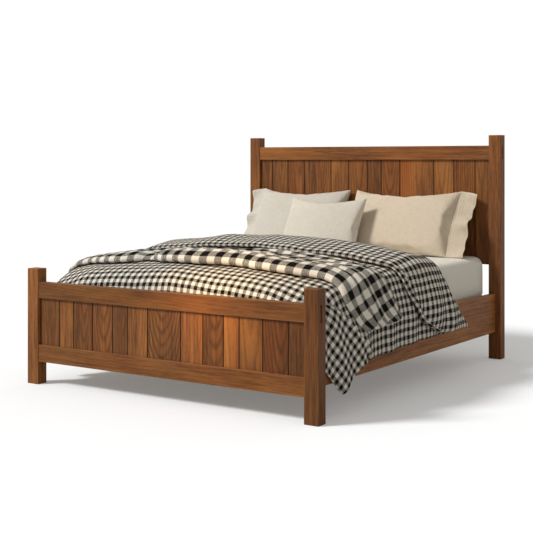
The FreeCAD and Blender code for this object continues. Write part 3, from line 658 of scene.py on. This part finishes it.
def cloth_width(t):
    """How far from the middle the cloth reaches at a distance t from its tucked end."""
    if t < ridge_top:
        return tuck_half + tuck_spread * rise(t, 0.05, ridge_top)
    if t > ridge_end:
        return half_width
    return ridge.read(0, spine.at(t).x, 1)


corner_press = 0.034


def corner_sag(x, y):
    """How far the bed's foot corners are pressed down under the tucked duvet."""
    return corner_press * rise(abs(x), 0.55, 0.82) * rise(-y, 0.80, 0.98)


drop_start = 0.84
drop_end = 1.12
pleat_depth = 0.007
lip_swell = 0.022
lip_reach = 0.07
side_puff = 0.004
top_puff = 0.006
top_crease = 0.0028


def cover(s, t):
    """The point of the duvet's upper face at s from the middle and t from the tucked end."""
    y, z = spine.at(t)
    side = -1.0 if s < 0 else 1.0
    across, fall = flank.at(abs(s))
    hang = rise(abs(s), drop_start, drop_end)
    z = z + fall - corner_sag(across, y)
    pleat = math.sin(y * 27.0 + 1.8 * ripple(1, y * 3.0, side)) + 0.5 * math.sin(y * 51.0 + 2.0 * side)
    across = across + pleat_depth * hang * pleat
    lip = cloth_width(t) - abs(s)
    if ridge_top < t < ridge_end:
        across = across + lip_swell * math.exp(-((lip / lip_reach) ** 2)) * hang
    crease = top_crease * ripple(3, s * 11.0, t * 9.0)
    z = z + (1 - hang) * (top_puff * ripple(2, s * 4.2, t * 3.4) + crease)
    across = across + hang * side_puff * ripple(4, s * 8.0, t * 7.0)
    return Vector((side * across, y, z))


def outward(s, t, reach=0.012):
    """The direction that the duvet's upper face looks in."""
    over_s = cover(s + reach, t) - cover(s - reach, t)
    over_t = cover(s, t + reach) - cover(s, t - reach)
    return over_s.cross(over_t).normalized()


# %% [markdown]
# The duvet's head end is turned back over itself: a second layer, with a thick rounded edge towards
# the foot and a fold towards the head. A simulation would be hard to steer to just this fold, so its
# two edges are given lines, and the lower layer ends just under the fold.

# %% Duvet layers
cell = 0.020
duvet_fill = 0.016
turn_foot_line = SmoothLine([
    (-1.20, 0.140), (-1.107, -0.055), (-0.983, -0.165), (-0.88, -0.200), (-0.80, -0.220), (-0.60, -0.240),
    (-0.30, -0.245), (-0.113, -0.250), (0.10, -0.280), (0.282, -0.305), (0.42, -0.270), (0.55, -0.250),
    (0.743, -0.250), (0.808, -0.222), (0.88, -0.197), (0.983, -0.165), (1.107, -0.055), (1.20, 0.140),
])
turn_head_line = SmoothLine([
    (-1.21, 0.515), (-1.101, 0.417), (-0.986, 0.325), (-0.861, 0.262), (-0.80, 0.225), (-0.727, 0.185),
    (-0.40, 0.175), (0.0, 0.170), (0.40, 0.165), (0.727, 0.180), (0.80, 0.224), (0.861, 0.262),
    (0.986, 0.318), (1.101, 0.417), (1.21, 0.515),
])


def turn_foot(s):
    return turn_foot_line.read(0, s, 1)


def turn_head(s):
    return turn_head_line.read(0, s, 1)


def along_spine(y):
    return spine.where(0, y)


turn_band = 0.085
side_start = 0.76
side_end = 0.94


def edge_map(edge, s, away, reach=0.09):
    """The flat place of a point at a distance from an edge: square to it in a band where it slants."""
    low = max(s - reach, edge.line[0].x)
    high = min(s + reach, edge.line[-1].x)
    slope = (edge.read(0, high, 1) - edge.read(0, low, 1)) / (high - low) * rise(abs(s), side_start, side_end)
    slant = math.hypot(1.0, slope)
    near = min(away, turn_band)
    return s + near * slope / slant, near / slant + (away - near)


def flat_map(mesh_work, places):
    """Writes each point's place on the flat cloth to the UV map, in metres."""
    layer = mesh_work.loops.layers.uv.get("flat") or mesh_work.loops.layers.uv.new("flat")
    for face in mesh_work.faces:
        for loop in face.loops:
            if loop.vert in places:
                loop[layer].uv = places[loop.vert]
    return layer


def cloth_grid(columns, rows, place):
    """A grid whose points are carried by place(u, v), from -1 to 1 across and 0 to 1 along."""
    work = bmesh.new()
    bmesh.ops.create_grid(work, x_segments=columns, y_segments=rows, size=1.0)
    flat = {}
    for vert in work.verts:
        vert.co, flat[vert] = place(vert.co.x, (vert.co.y + 1) / 2)
    return work, flat


fold_overlap = 0.07
skew_start = along_spine(-0.5)
base_length = along_spine(turn_head(0.0) - fold_overlap)


def base_place(u, v):
    t_row = v * base_length
    s = u * cloth_width(t_row)
    skew = turn_head(s) - turn_head(0.0)
    t = t_row + skew * rise(t_row, skew_start, base_length)
    return cover(s, t), (s, t)


base_columns = round(2 * half_width / cell)
base_rows = round(base_length / cell)
duvet_work, duvet_flat = cloth_grid(base_columns, base_rows, base_place)
print("duvet grid", base_columns, "by", base_rows)

# %% [markdown]
# The turned-back layer is soft and thick. Its section is one line, which starts under the rounded
# edge, goes over a low crest and back under the fold. The line is drawn afresh for each column of
# the grid, and its points are measured from one of the two edges, or from the middle between them.

# %% Turned-back layer
# Each point: what it is measured from, the distance along, and the height or its share of the depth.
turn_points = [
    ("foot", 0.045, 0.003), ("foot", 0.016, 0.007), ("foot", -0.003, 0.014), ("foot", -0.004, 0.024),
    ("foot", 0.012, 0.031), ("foot", 0.045, 0.039), ("foot", 0.12, 0.050), ("middle", 0.0, 0.058),
    ("head", -0.12, 0.049), ("head", -0.05, 0.034), ("head", -0.012, 0.012), ("under", 0.0, 0.35),
    ("under", -0.012, 0.75), ("under", -0.05, 1.0),
]
turn_width = 1.20
turn_run = 0.78
turn_check = 0.020
turn_puff = 0.12
fold_depth = 0.046
fold_side_depth = 0.024
turn_side_share = 0.70


def cloth_section(points, foot, head, lift):
    """A layer from its foot edge to its head edge, as distance along and height above the bed."""
    places = {"foot": foot, "middle": (foot + head) / 2, "head": head, "under": head}
    return SmoothLine([(places[a] + run, lift(a, share)) for a, run, share in points], steps=8)


@functools.cache
def turn_section(s):
    depth = fold_depth + (fold_side_depth - fold_depth) * rise(abs(s), 0.68, 0.84)
    full = 1.0 - (1.0 - turn_side_share) * rise(abs(s), 0.72, 0.92)

    def lift(anchor, height):
        return -depth * height if anchor == "under" else height * full

    return cloth_section(turn_points, along_spine(turn_foot(s)), along_spine(turn_head(s)), lift)


turn_facts = []


def turn_place(u, v):
    """A point's place, which also notes its distances, in the order of the grid's points."""
    s = u * turn_width
    section = turn_section(s)
    away = v * section.length
    t, height = section.at(away)
    turn_facts.append((s, t, away))
    puff = 1.0 + turn_puff * ripple(7, s * 5.0, t * 5.0)
    flat = edge_map(turn_foot_line, s, away + turn_check)
    return cover(s, t) + outward(s, t) * height * puff, flat


turn_columns = round(2 * turn_width / cell)
turn_rows = round(turn_run / cell)
turn_work, turn_flat = cloth_grid(turn_columns, turn_rows, turn_place)
print("turned-back grid", turn_columns, "by", turn_rows)

# %% [markdown]
# The kite at each foot corner starts from the fold along the duvet's cut edge: the edge is extruded
# row after row, down to the kite's hem. Its cloth hangs on the bias, so its flat coordinates are
# turned by 45 degrees.

# %% Duvet corners
kite_hem = SmoothLine([
    (0.884, -0.982, 0.235), (0.890, -0.925, 0.185), (0.896, -0.868, 0.120), (0.898, -0.838, 0.100),
    (0.903, -0.790, 0.133), (0.908, -0.715, 0.190), (0.908, -0.626, 0.222),
])
kite_rows = 12
kite_wave = 0.006
kite_puff = 0.004
bias = Matrix.Rotation(math.radians(45), 2)


def add_kite(work, flat, side):
    """Hangs a kite from the duvet's cut edge on one side, and returns its points."""
    edge = [v for v in work.verts if v.is_boundary and v.co.x * side > 0]
    edge = [v for v in edge if ridge_top - 0.01 <= flat[v][1] <= ridge_end + 0.012]
    edge.sort(key=lambda v: flat[v][1])
    edges = [e for a, b in zip(edge, edge[1:]) for e in a.link_edges if e.other_vert(a) is b]
    lines = {}
    for index, vert in enumerate(edge):
        x, y, z = kite_hem.at(kite_hem.length * index / (len(edge) - 1))
        lines[vert] = (vert.co.copy(), Vector((side * x, y, z)))
    kite = set()
    for row in range(1, kite_rows + 1):
        made = bmesh.ops.extrude_edge_only(work, edges=edges)["geom"]
        verts = [g for g in made if isinstance(g, bmesh.types.BMVert)]
        edges = [g for g in made if isinstance(g, bmesh.types.BMEdge) and set(g.verts) <= set(verts)]
        hung = {}
        for vert in verts:
            above = next(e.other_vert(vert) for e in vert.link_edges if e.other_vert(vert) in lines)
            hung[vert] = lines[above]
            start, end = lines[above]
            share = row / kite_rows
            vert.co = start.lerp(end, share)
            vert.co.x = start.x + (end.x - start.x) * (1 - (1 - share) ** 5)
        lines.update(hung)
        kite.update(verts)
    for vert in kite:
        wave = kite_wave * math.sin(vert.co.y * 38.0 + vert.co.z * 9.0)
        vert.co.x += side * (wave + kite_puff * ripple(8, vert.co.y * 9, vert.co.z * 9))
    return kite


kites = [add_kite(duvet_work, duvet_flat, side) for side in (-1, 1)]
layer = flat_map(duvet_work, duvet_flat)
for kite in kites:
    for face in {face for vert in kite for face in vert.link_faces}:
        for loop in face.loops:
            loop[layer].uv = bias @ Vector((loop.vert.co.y, loop.vert.co.z))
print("kites of", [len(kite) for kite in kites], "points")

# %% [markdown]
# Past the band, where the layer hangs down the side, the cloth has settled with its threads upright,
# so faces there get upright checks. Then both layers go into one mesh: a Solidify modifier gives the
# filling its thickness, and a subdivision softens the hems.

# %% Duvet finish
layer = flat_map(turn_work, turn_flat)
shoulder = 0.80
shoulder_line = turn_section(shoulder)
half_run = shoulder_line.length / 2
upright_shift = half_run - shoulder_line.at(half_run).x + turn_check
turn_work.verts.index_update()
for face in turn_work.faces:
    facts = [turn_facts[vert.index] for vert in face.verts]
    if min(abs(s) for s, _, _ in facts) > shoulder and min(away for _, _, away in facts) > turn_band:
        for loop in face.loops:
            s, t, _ = turn_facts[loop.vert.index]
            loop[layer].uv = (s, t + upright_shift)


def cloth_object(name, *works):
    """One mesh object from several bmesh shapes."""
    parts = []
    for work in works:
        part = bpy.data.meshes.new(name)
        work.to_mesh(part)
        work.free()
        parts.append(part)
    joined = bmesh.new()
    for part in parts:
        joined.from_mesh(part)
    mesh = bpy.data.meshes.new(name)
    joined.to_mesh(mesh)
    joined.free()
    for part in parts:
        bpy.data.meshes.remove(part)
    mesh.shade_smooth()
    return placed(name, mesh)


def thicken(piece, thickness, offset):
    wall = piece.modifiers.new("filling", "SOLIDIFY")
    wall.thickness = thickness
    wall.offset = offset
    wall.use_even_offset = False


def soften(piece):
    soft = piece.modifiers.new("soft", "SUBSURF")
    soft.levels = 1
    soft.render_levels = 1


duvet = cloth_object("checked_duvet", duvet_work, turn_work)
thicken(duvet, duvet_fill, -1.0)
soften(duvet)
coat(duvet, small_check)
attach(duvet, "bed")
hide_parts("duvet")
print("duvet of", len(duvet.data.vertices), "points")

# %% [markdown]
# The throw is a thin woven blanket, dropped across the duvet a little askew. It lies on the duvet's
# own surface, lifted by its folds: each fold is a ridge that runs across the bed between two set
# places, and its foot edge stands up where the cloth is bunched. Falling cloth would be as hard to
# steer here as on the duvet.

# %% Throw
throw_half = 1.065
throw_width = 0.565
throw_cell = 0.014
throw_thickness = 0.004
throw_check = 0.010
throw_foot_line = SmoothLine([
    (-1.09, -0.640), (-1.00, -0.725), (-0.89, -0.785), (-0.80, -0.792), (-0.715, -0.785), (-0.60, -0.820),
    (-0.47, -0.842), (-0.36, -0.825), (-0.29, -0.790), (-0.22, -0.812), (-0.15, -0.843), (0.02, -0.860),
    (0.15, -0.832), (0.29, -0.815), (0.41, -0.825), (0.55, -0.815), (0.65, -0.790), (0.754, -0.772),
    (0.885, -0.782), (0.995, -0.732), (1.09, -0.645),
])
throw_head_line = SmoothLine([
    (-1.09, -0.240), (-0.93, -0.300), (-0.82, -0.330), (-0.65, -0.300), (-0.46, -0.280), (-0.19, -0.374),
    (0.03, -0.415), (0.29, -0.360), (0.45, -0.322), (0.58, -0.305), (0.705, -0.316), (0.824, -0.345),
    (0.926, -0.322), (1.02, -0.280), (1.09, -0.250),
])
# How high the bunched foot edge stands, from the left hem to the right one.
throw_bunch = SmoothLine([
    (-1.09, 0.012), (-0.95, 0.018), (-0.80, 0.030), (-0.62, 0.036), (-0.45, 0.040), (-0.35, 0.036),
    (-0.29, 0.014), (-0.23, 0.045), (-0.10, 0.053), (0.10, 0.056), (0.30, 0.056), (0.50, 0.052),
    (0.70, 0.046), (0.80, 0.038), (0.90, 0.026), (1.00, 0.019), (1.09, 0.014),
])
throw_points = [
    ("foot", 0.034, 0.03), ("foot", 0.012, 0.12), ("foot", -0.004, 0.40), ("foot", 0.006, 0.74),
    ("foot", 0.030, 0.96), ("foot", 0.065, 1.0), ("foot", 0.13, 0.78), ("middle", 0.0, 0.50),
    ("head", -0.12, 0.36), ("head", -0.05, 0.20), ("head", 0.0, 0.04),
]
# Each crease: its place across the throw at the left and right hems, its half width and its height.
throw_creases = [
    (0.24, 0.30, 0.030, 0.013), (0.40, 0.42, 0.036, 0.018), (0.55, 0.57, 0.026, 0.012),
    (0.66, 0.71, 0.032, 0.015), (0.83, 0.82, 0.030, 0.013), (0.94, 0.96, 0.020, 0.005),
]
crease_wander = 0.045
pinch_s = -0.29
pinch_tall = 0.008
pinch_reach = 0.14
throw_rest = 0.003


@functools.cache
def throw_section(s):
    foot = along_spine(throw_foot_line.read(0, s, 1))
    head = along_spine(throw_head_line.read(0, s, 1))
    tall = throw_bunch.read(0, s, 1)
    return cloth_section(throw_points, foot, head, lambda anchor, share: throw_rest + tall * share)


def throw_crease(s, v, away):
    """The height of the long creases, and of the small ones that fan out from the pinch."""
    share = (s + throw_half) / (2 * throw_half)
    height = 0.0
    for number, (left, right, half, tall) in enumerate(throw_creases):
        middle = left + (right - left) * share + crease_wander * ripple(20 + number, s * 2.4)
        strength = 0.7 + 0.6 * ripple(40 + number, s * 2.1)
        beside = (v - middle) * throw_width
        slope_width = half * (0.45 if beside < 0 else 1.3)
        height += tall * strength * math.exp(-abs(beside / slope_width) ** 1.5)
    reach = math.hypot(s - pinch_s, away)
    fan = math.cos(9.0 * math.atan2(s - pinch_s, away + 0.01)) * rise(reach, 0.0, 0.03)
    return height + pinch_tall * math.exp(-reach / pinch_reach) * fan


hem_width = 0.035
hem_lift = 0.008
throw_tilt = 0.23


def throw_place(u, v):
    s = u * throw_half
    section = throw_section(s)
    away = v * section.length
    t, height = section.at(away)
    sharp = 1.0 + 0.5 * rise(abs(s), 0.74, 0.90)
    height += throw_crease(s, v, away) * sharp * rise(v, 0.0, 0.12) * rise(v, 1.0, 0.93)
    height += hem_lift * rise(abs(s), throw_half - hem_width, throw_half)
    tilt = math.copysign(throw_tilt * away * rise(abs(s), 0.55, 1.05), s)
    return cover(s, t) + outward(s, t) * height, (s + tilt, away + throw_check)


throw_columns = round(2 * throw_half / throw_cell)
throw_rows = round(throw_width / throw_cell)
throw_work, throw_flat = cloth_grid(throw_columns, throw_rows, throw_place)
flat_map(throw_work, throw_flat)
throw = cloth_object("checked_throw", throw_work)
thicken(throw, throw_thickness, 1.0)
soften(throw)
coat(throw, large_check)
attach(throw, "bed")
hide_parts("throw")
print("throw of", len(throw.data.vertices), "points")

# %% [markdown]
# Pillows and cushion. A stuffed case keeps its pointed corners while its sides pull in, and puckers
# at its seams. That is hard to draw and easy to blow up: a flat sewn bag is filled by Blender's
# cloth simulation with pressure inside and no gravity, then leaned against what holds it. The result
# hangs on the order of the bag's edges, which an extrusion leaves to chance, so they are sorted.

# %% Filled cases
case_gap = 0.012
case_crown = 0.052
case_cap = 0.030
case_cloth = {
    "quality": 6,
    "mass": 0.2,
    "tension_stiffness": 25,
    "compression_stiffness": 25,
    "shear_stiffness": 8,
    "bending_stiffness": 0.3,
    "use_pressure": True,
    "uniform_pressure_force": 2.2,
}
fill_frames = 11


def steady_order(work):
    """Sorts edges and faces by their points, so that each run fills a case in the same way."""
    work.verts.index_update()
    count = len(work.verts)

    def rank(part):
        first, second, *others = sorted(vert.index for vert in part.verts)
        return (first * count + second) * 4 * count + sum(others)

    for parts in (work.edges, work.faces):
        parts.sort(key=rank)


def filled_case(name, width, height, cells):
    """A sewn bag of that flat size, blown up around the origin, and its points' flat places."""
    work = bmesh.new()
    bmesh.ops.create_grid(work, x_segments=cells[0], y_segments=cells[1], size=0.5)
    bmesh.ops.scale(work, vec=(width, height, 1.0), verts=work.verts)
    made = bmesh.ops.extrude_face_region(work, geom=list(work.faces))["geom"]
    upper = {g for g in made if isinstance(g, bmesh.types.BMVert)}
    bmesh.ops.translate(work, vec=(0.0, 0.0, case_gap), verts=list(upper))
    flat = {}
    for vert in work.verts:
        flat[vert] = (vert.co.x, vert.co.y)
        bulge = (1 - (2 * vert.co.x / width) ** 2) * (1 - (2 * vert.co.y / height) ** 2)
        vert.co.z += (1 if vert in upper else -1) * case_crown * max(bulge, 0.0) ** 0.5
    bmesh.ops.recalc_face_normals(work, faces=work.faces)
    steady_order(work)
    places = [flat[vert] for vert in work.verts]
    bag = cloth_object(name + "_bag", work)
    first = [vert.co.copy() for vert in bag.data.vertices]
    cloth = bag.modifiers.new("cloth", "CLOTH")
    for setting, value in case_cloth.items():
        setattr(cloth.settings, setting, value)
    cloth.settings.effector_weights.gravity = 0.0
    cloth.collision_settings.use_collision = False
    for number in range(1, fill_frames + 1):
        bpy.context.scene.frame_set(number)
    shown = bag.evaluated_get(bpy.context.evaluated_depsgraph_get())
    mesh = bpy.data.meshes.new_from_object(shown)
    bpy.data.objects.remove(bag)
    bpy.context.scene.frame_set(1)
    for vert, start in zip(mesh.vertices, first):
        move = vert.co - start
        vert.co = start + move * min(1.0, case_cap / max(move.length, 1e-9))
    return mesh, places


def fit_case(mesh, width, height, thickness):
    """Centres a filled case and scales it to a size."""
    corners = [[f(v.co[axis] for v in mesh.vertices) for f in (min, max)] for axis in range(3)]
    for vert in mesh.vertices:
        for axis, size in enumerate((width, height, thickness)):
            low, high = corners[axis]
            vert.co[axis] = (vert.co[axis] - (low + high) / 2) * size / (high - low)
    return [round(high - low, 3) for low, high in corners]


print("each case is filled over", fill_frames, "frames")

# %% [markdown]
# A pillowcase is longer than its pillow, so its open end stands out flat past a line of stitching.
# The end wall of the blown-up bag is extruded row by row, and each row is thinner and more wavy. All
# seams get small puckers, where the thread draws the cloth in.

# %% Case ends and seams
flange_rows = 7
flange_thickness = 0.004
flange_wave = 0.016
flange_ripple = 0.010
flange_droop = 0.10
flange_narrowing = 0.03
pucker_depth = 0.006
pucker_reach = 0.045
case_softness = 0.0035
case_sag = 0.03


def finish_case(mesh, places, width, height, side=0, flange=0.0):
    """Puckers the seams, lets the top edge sag, and adds a flat flange at one end."""
    work = bmesh.new()
    work.from_mesh(mesh)
    flat = {vert: places[index] for index, vert in enumerate(work.verts)}
    for vert in work.verts:
        u, v = flat[vert]
        seam = min(width / 2 - abs(u), height / 2 - abs(v))
        way = math.copysign(1.0, vert.co.z)
        pucker = math.exp(-seam / pucker_reach) * rise(seam, 0.0, 0.02)
        pucker = ripple(14, u * 34.0, v * 34.0, way) * pucker
        soft = ripple(15, u * 9.0, v * 9.0, way) * rise(seam, 0.0, 0.08)
        vert.co.z += pucker_depth * pucker + case_softness * soft
        along_top = max(1 - (2 * u / width) ** 2, 0.0) * (1 + 0.25 * ripple(16, u * 7.0, way * 0.1))
        vert.co.y -= case_sag * along_top * max(2 * v / height, 0.0) ** 1.5
    end = [vert for vert in work.verts if side and flat[vert][0] * side > width / 2 - 0.001]
    row = {vert: vert.co.copy() for vert in end}
    wall = [face for face in work.faces if all(vert in row for vert in face.verts)]
    for number in range(1, flange_rows + 1):
        share = number / flange_rows
        made = bmesh.ops.extrude_face_region(work, geom=wall)["geom"] if wall else []
        wall = [g for g in made if isinstance(g, bmesh.types.BMFace)]
        next_row = {}
        for vert in (g for g in made if isinstance(g, bmesh.types.BMVert)):
            inner = next(e.other_vert(vert) for e in vert.link_edges if e.other_vert(vert) in row)
            start = row[inner]
            u, v = flat[inner]
            flat[vert] = (u + side * flange / flange_rows, v)
            wave = flange_wave * math.sin(v * 31.0 + 1.2) + flange_ripple * math.sin(v * 57.0 + share)
            layer = math.copysign(flange_thickness / 2, start.z)
            slim = start.z + (wave * share + layer - start.z) * rise(share, -0.2, 0.6)
            droop = flange_droop * max(start.y, 0.0) * share ** 1.5
            level = start.y * (1 - flange_narrowing * share) - droop
            vert.co = (start.x + side * flange * share, level, slim)
            next_row[vert] = start
        row = next_row or row
    bmesh.ops.recalc_face_normals(work, faces=work.faces)
    flat_map(work, flat)
    work.to_mesh(mesh)
    work.free()


print("a flange has", flange_rows, "rows")

# %% [markdown]
# Two pillows lean on the headboard. A filled case is stood up and leaned back as a whole, and points
# that would pass the bed or the board, or come close to them, are pressed flat in front of them. That
# gives a settled foot without a second simulation.

# %% Pillows
settle = 0.02


def settled(past):
    """How far a point stays in front of a face, from how far it would go past it."""
    return settle * math.exp(min(-(past + settle) / settle, 0.0))


def leaned_case(name, mesh, middle, lean, floor_z, back_y):
    """Stands a filled case up, leans it back and settles it on the bed and against its back."""
    upright = Matrix.Rotation(math.radians(90 - lean), 4, "X")
    mesh.transform(Matrix.Translation(middle) @ upright)
    for vert in mesh.vertices:
        sunk = floor_z - vert.co.z
        if sunk > -settle:
            vert.co.z = floor_z + settled(sunk)
        past = vert.co.y - back_y
        if past > -settle:
            vert.co.y = back_y - settled(past)
    mesh.shade_smooth()
    piece = placed(name, mesh)
    soften(piece)
    return piece


case_clearance = 0.001
bed_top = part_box("fitted_sheet")[1].z + case_clearance
board_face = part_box("head_board_06")[0].y - case_clearance
pillow_lean = 30.0
pillow_cells = (52, 36)
pillow_height = 0.465
pillow_thickness = 0.19
pillow_sink = 0.010
pillow_ends = {"pillow_left": (-0.852, -0.112), "pillow_right": (-0.070, 0.766)}
pillow_flanges = {"pillow_left": 0.085, "pillow_right": 0.115}
for name, side in (("pillow_left", -1), ("pillow_right", 1)):
    low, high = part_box(name)
    left, right = pillow_ends[name]
    flange = pillow_flanges[name]
    filled_width = right - left - flange
    mesh, places = filled_case(name, filled_width, pillow_height, pillow_cells)
    size = fit_case(mesh, filled_width, pillow_height, pillow_thickness)
    finish_case(mesh, places, filled_width, pillow_height, side, flange)
    middle = (low + high) / 2 - Vector((0.0, 0.0, pillow_sink))
    middle.x = (left + right - side * flange) / 2
    pillow = leaned_case(name + "_case", mesh, middle, pillow_lean, bed_top, board_face)
    coat(pillow, case_linens[name])
    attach(pillow, "bed")
    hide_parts(name)
    print(name, "blown up to", size, "with", len(mesh.vertices), "points")

# %% [markdown]
# The small cushion lies loose in front of the pillows. It has the same sewn case without a flange,
# so the same functions make it. It rides on its own body, because it can be lifted off.

# %% Cushion
low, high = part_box("cushion")
cushion_trim = 0.012
cushion_width = high.x - low.x - cushion_trim
cushion_lean = 27.0
cushion_cells = (46, 36)
cushion_height = 0.385
cushion_thickness = 0.16
cushion_sink = 0.006
mesh, places = filled_case("cushion", cushion_width, cushion_height, cushion_cells)
size = fit_case(mesh, cushion_width, cushion_height, cushion_thickness)
finish_case(mesh, places, cushion_width, cushion_height)
middle = (low + high) / 2 - Vector((0.0, 0.0, cushion_sink))
cushion = leaned_case("cushion_case", mesh, middle, cushion_lean, bed_top, high.y)
coat(cushion, case_linens["cushion"])
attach(cushion, "loose_cushion")
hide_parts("cushion")
print("cushion blown up to", size, "with", len(mesh.vertices), "points")

# %% [markdown]
# The mattress is a box of foam with rounded corners, and the tucked duvet presses it down at the
# foot. A bevelled cube has the round corners but too few points to be pressed in, so it is remeshed
# to even small faces first.

# %% Mattress
corner_round = 0.08
edge_round = 0.05


def rounded_pad(low, high):
    """A box with round upright corners and soft edges."""
    work = bmesh.new()
    bmesh.ops.create_cube(work, size=1.0)
    bmesh.ops.scale(work, vec=high - low, verts=work.verts)
    bmesh.ops.translate(work, vec=(low + high) / 2, verts=work.verts)
    upright = [e for e in work.edges if abs(e.verts[0].co.z - e.verts[1].co.z) > 0.1]
    bmesh.ops.bevel(
        work, geom=upright, offset=corner_round, segments=8, profile=0.5, affect="EDGES", material=-1
    )
    rims = [e for e in work.edges if e.calc_face_angle(0.0) > 1.0]
    bmesh.ops.bevel(
        work, geom=rims, offset=edge_round, segments=6, profile=0.5, affect="EDGES", material=-1
    )
    return work


level_half = 0.86


def duvet_height(x, y):
    """The level of the duvet's upper face over a point of the bed."""
    fall = flank.at(flank.where(0, min(abs(x), level_half))).y
    return spine.read(0, y, 1) + fall - corner_sag(x, y)


def even_pad(name, low, high, voxel, clear):
    """A rounded pad as even small faces, pressed down where the duvet is tucked tight over it."""
    rough = cloth_object(name + "_rough", rounded_pad(low, high))
    even = rough.modifiers.new("even", "REMESH")
    even.mode = "VOXEL"
    even.voxel_size = voxel
    shown = rough.evaluated_get(bpy.context.evaluated_depsgraph_get())
    mesh = bpy.data.meshes.new_from_object(shown)
    bpy.data.objects.remove(rough)
    work = bmesh.new()
    work.from_mesh(mesh)
    bpy.data.meshes.remove(mesh)
    bmesh.ops.smooth_vert(
        work, verts=work.verts, factor=0.5, use_axis_x=True, use_axis_y=True, use_axis_z=True
    )
    for vert in work.verts:
        room = duvet_height(vert.co.x, vert.co.y) - duvet_fill - clear - low.z
        vert.co.z = low.z + (vert.co.z - low.z) * min(1.0, room / (high.z - low.z))
    return work


pad_low, pad_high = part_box("mattress")
pad_voxel = 0.018
pad_clear = 0.010
pad_work = even_pad("mattress", pad_low, pad_high, pad_voxel, pad_clear)
mattress = cloth_object("mattress_pad", pad_work)
coat(mattress, mattress_ticking)
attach(mattress, "bed")
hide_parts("mattress")
print("mattress of", len(mattress.data.vertices), "points")

# %% [markdown]
# The fitted sheet is thin cotton, held tight under the mattress by its elastic hem. It is the
# mattress's upper part again, a little larger: made by the same function, cut open below at the hem,
# and given small wrinkles towards its corners, where the elastic pulls.

# %% Fitted sheet
sheet_low, sheet_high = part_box("fitted_sheet")
sheet_gap = Vector((0.0015, 0.0015, 0.0015))
sheet_clear = 0.007
sheet_wrinkle = 0.006
sheet_thickness = 0.0012
sheet_work = even_pad("sheet", pad_low - sheet_gap, pad_high + sheet_gap, pad_voxel, sheet_clear)
bmesh.ops.bisect_plane(
    sheet_work,
    geom=list(sheet_work.verts) + list(sheet_work.edges) + list(sheet_work.faces),
    plane_co=(0.0, 0.0, sheet_low.z),
    plane_no=(0.0, 0.0, -1.0),
    clear_outer=True,
)
sheet_flat = {}
for vert in sheet_work.verts:
    x, y, z = vert.co
    below = sheet_high.z - z
    sheet_flat[vert] = (x + math.copysign(below, x), y + math.copysign(below, y))
    pull = rise(abs(y), 0.45, 1.0) * rise(below, 0.01, 0.10)
    crease = max(0.0, ripple(12, (x + y) * 9.0, z * 4.0 + y * 2.0))
    crease += 0.5 * max(0.0, ripple(13, y * 16.0, z * 3.0))
    vert.co += vert.normal * sheet_wrinkle * pull * crease
flat_map(sheet_work, sheet_flat)
sheet = cloth_object("fitted_sheet_cotton", sheet_work)
thicken(sheet, sheet_thickness, 1.0)
coat(sheet, sheet_cotton)
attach(sheet, "bed")
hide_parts("fitted_sheet")
print("sheet of", len(sheet.data.vertices), "points")
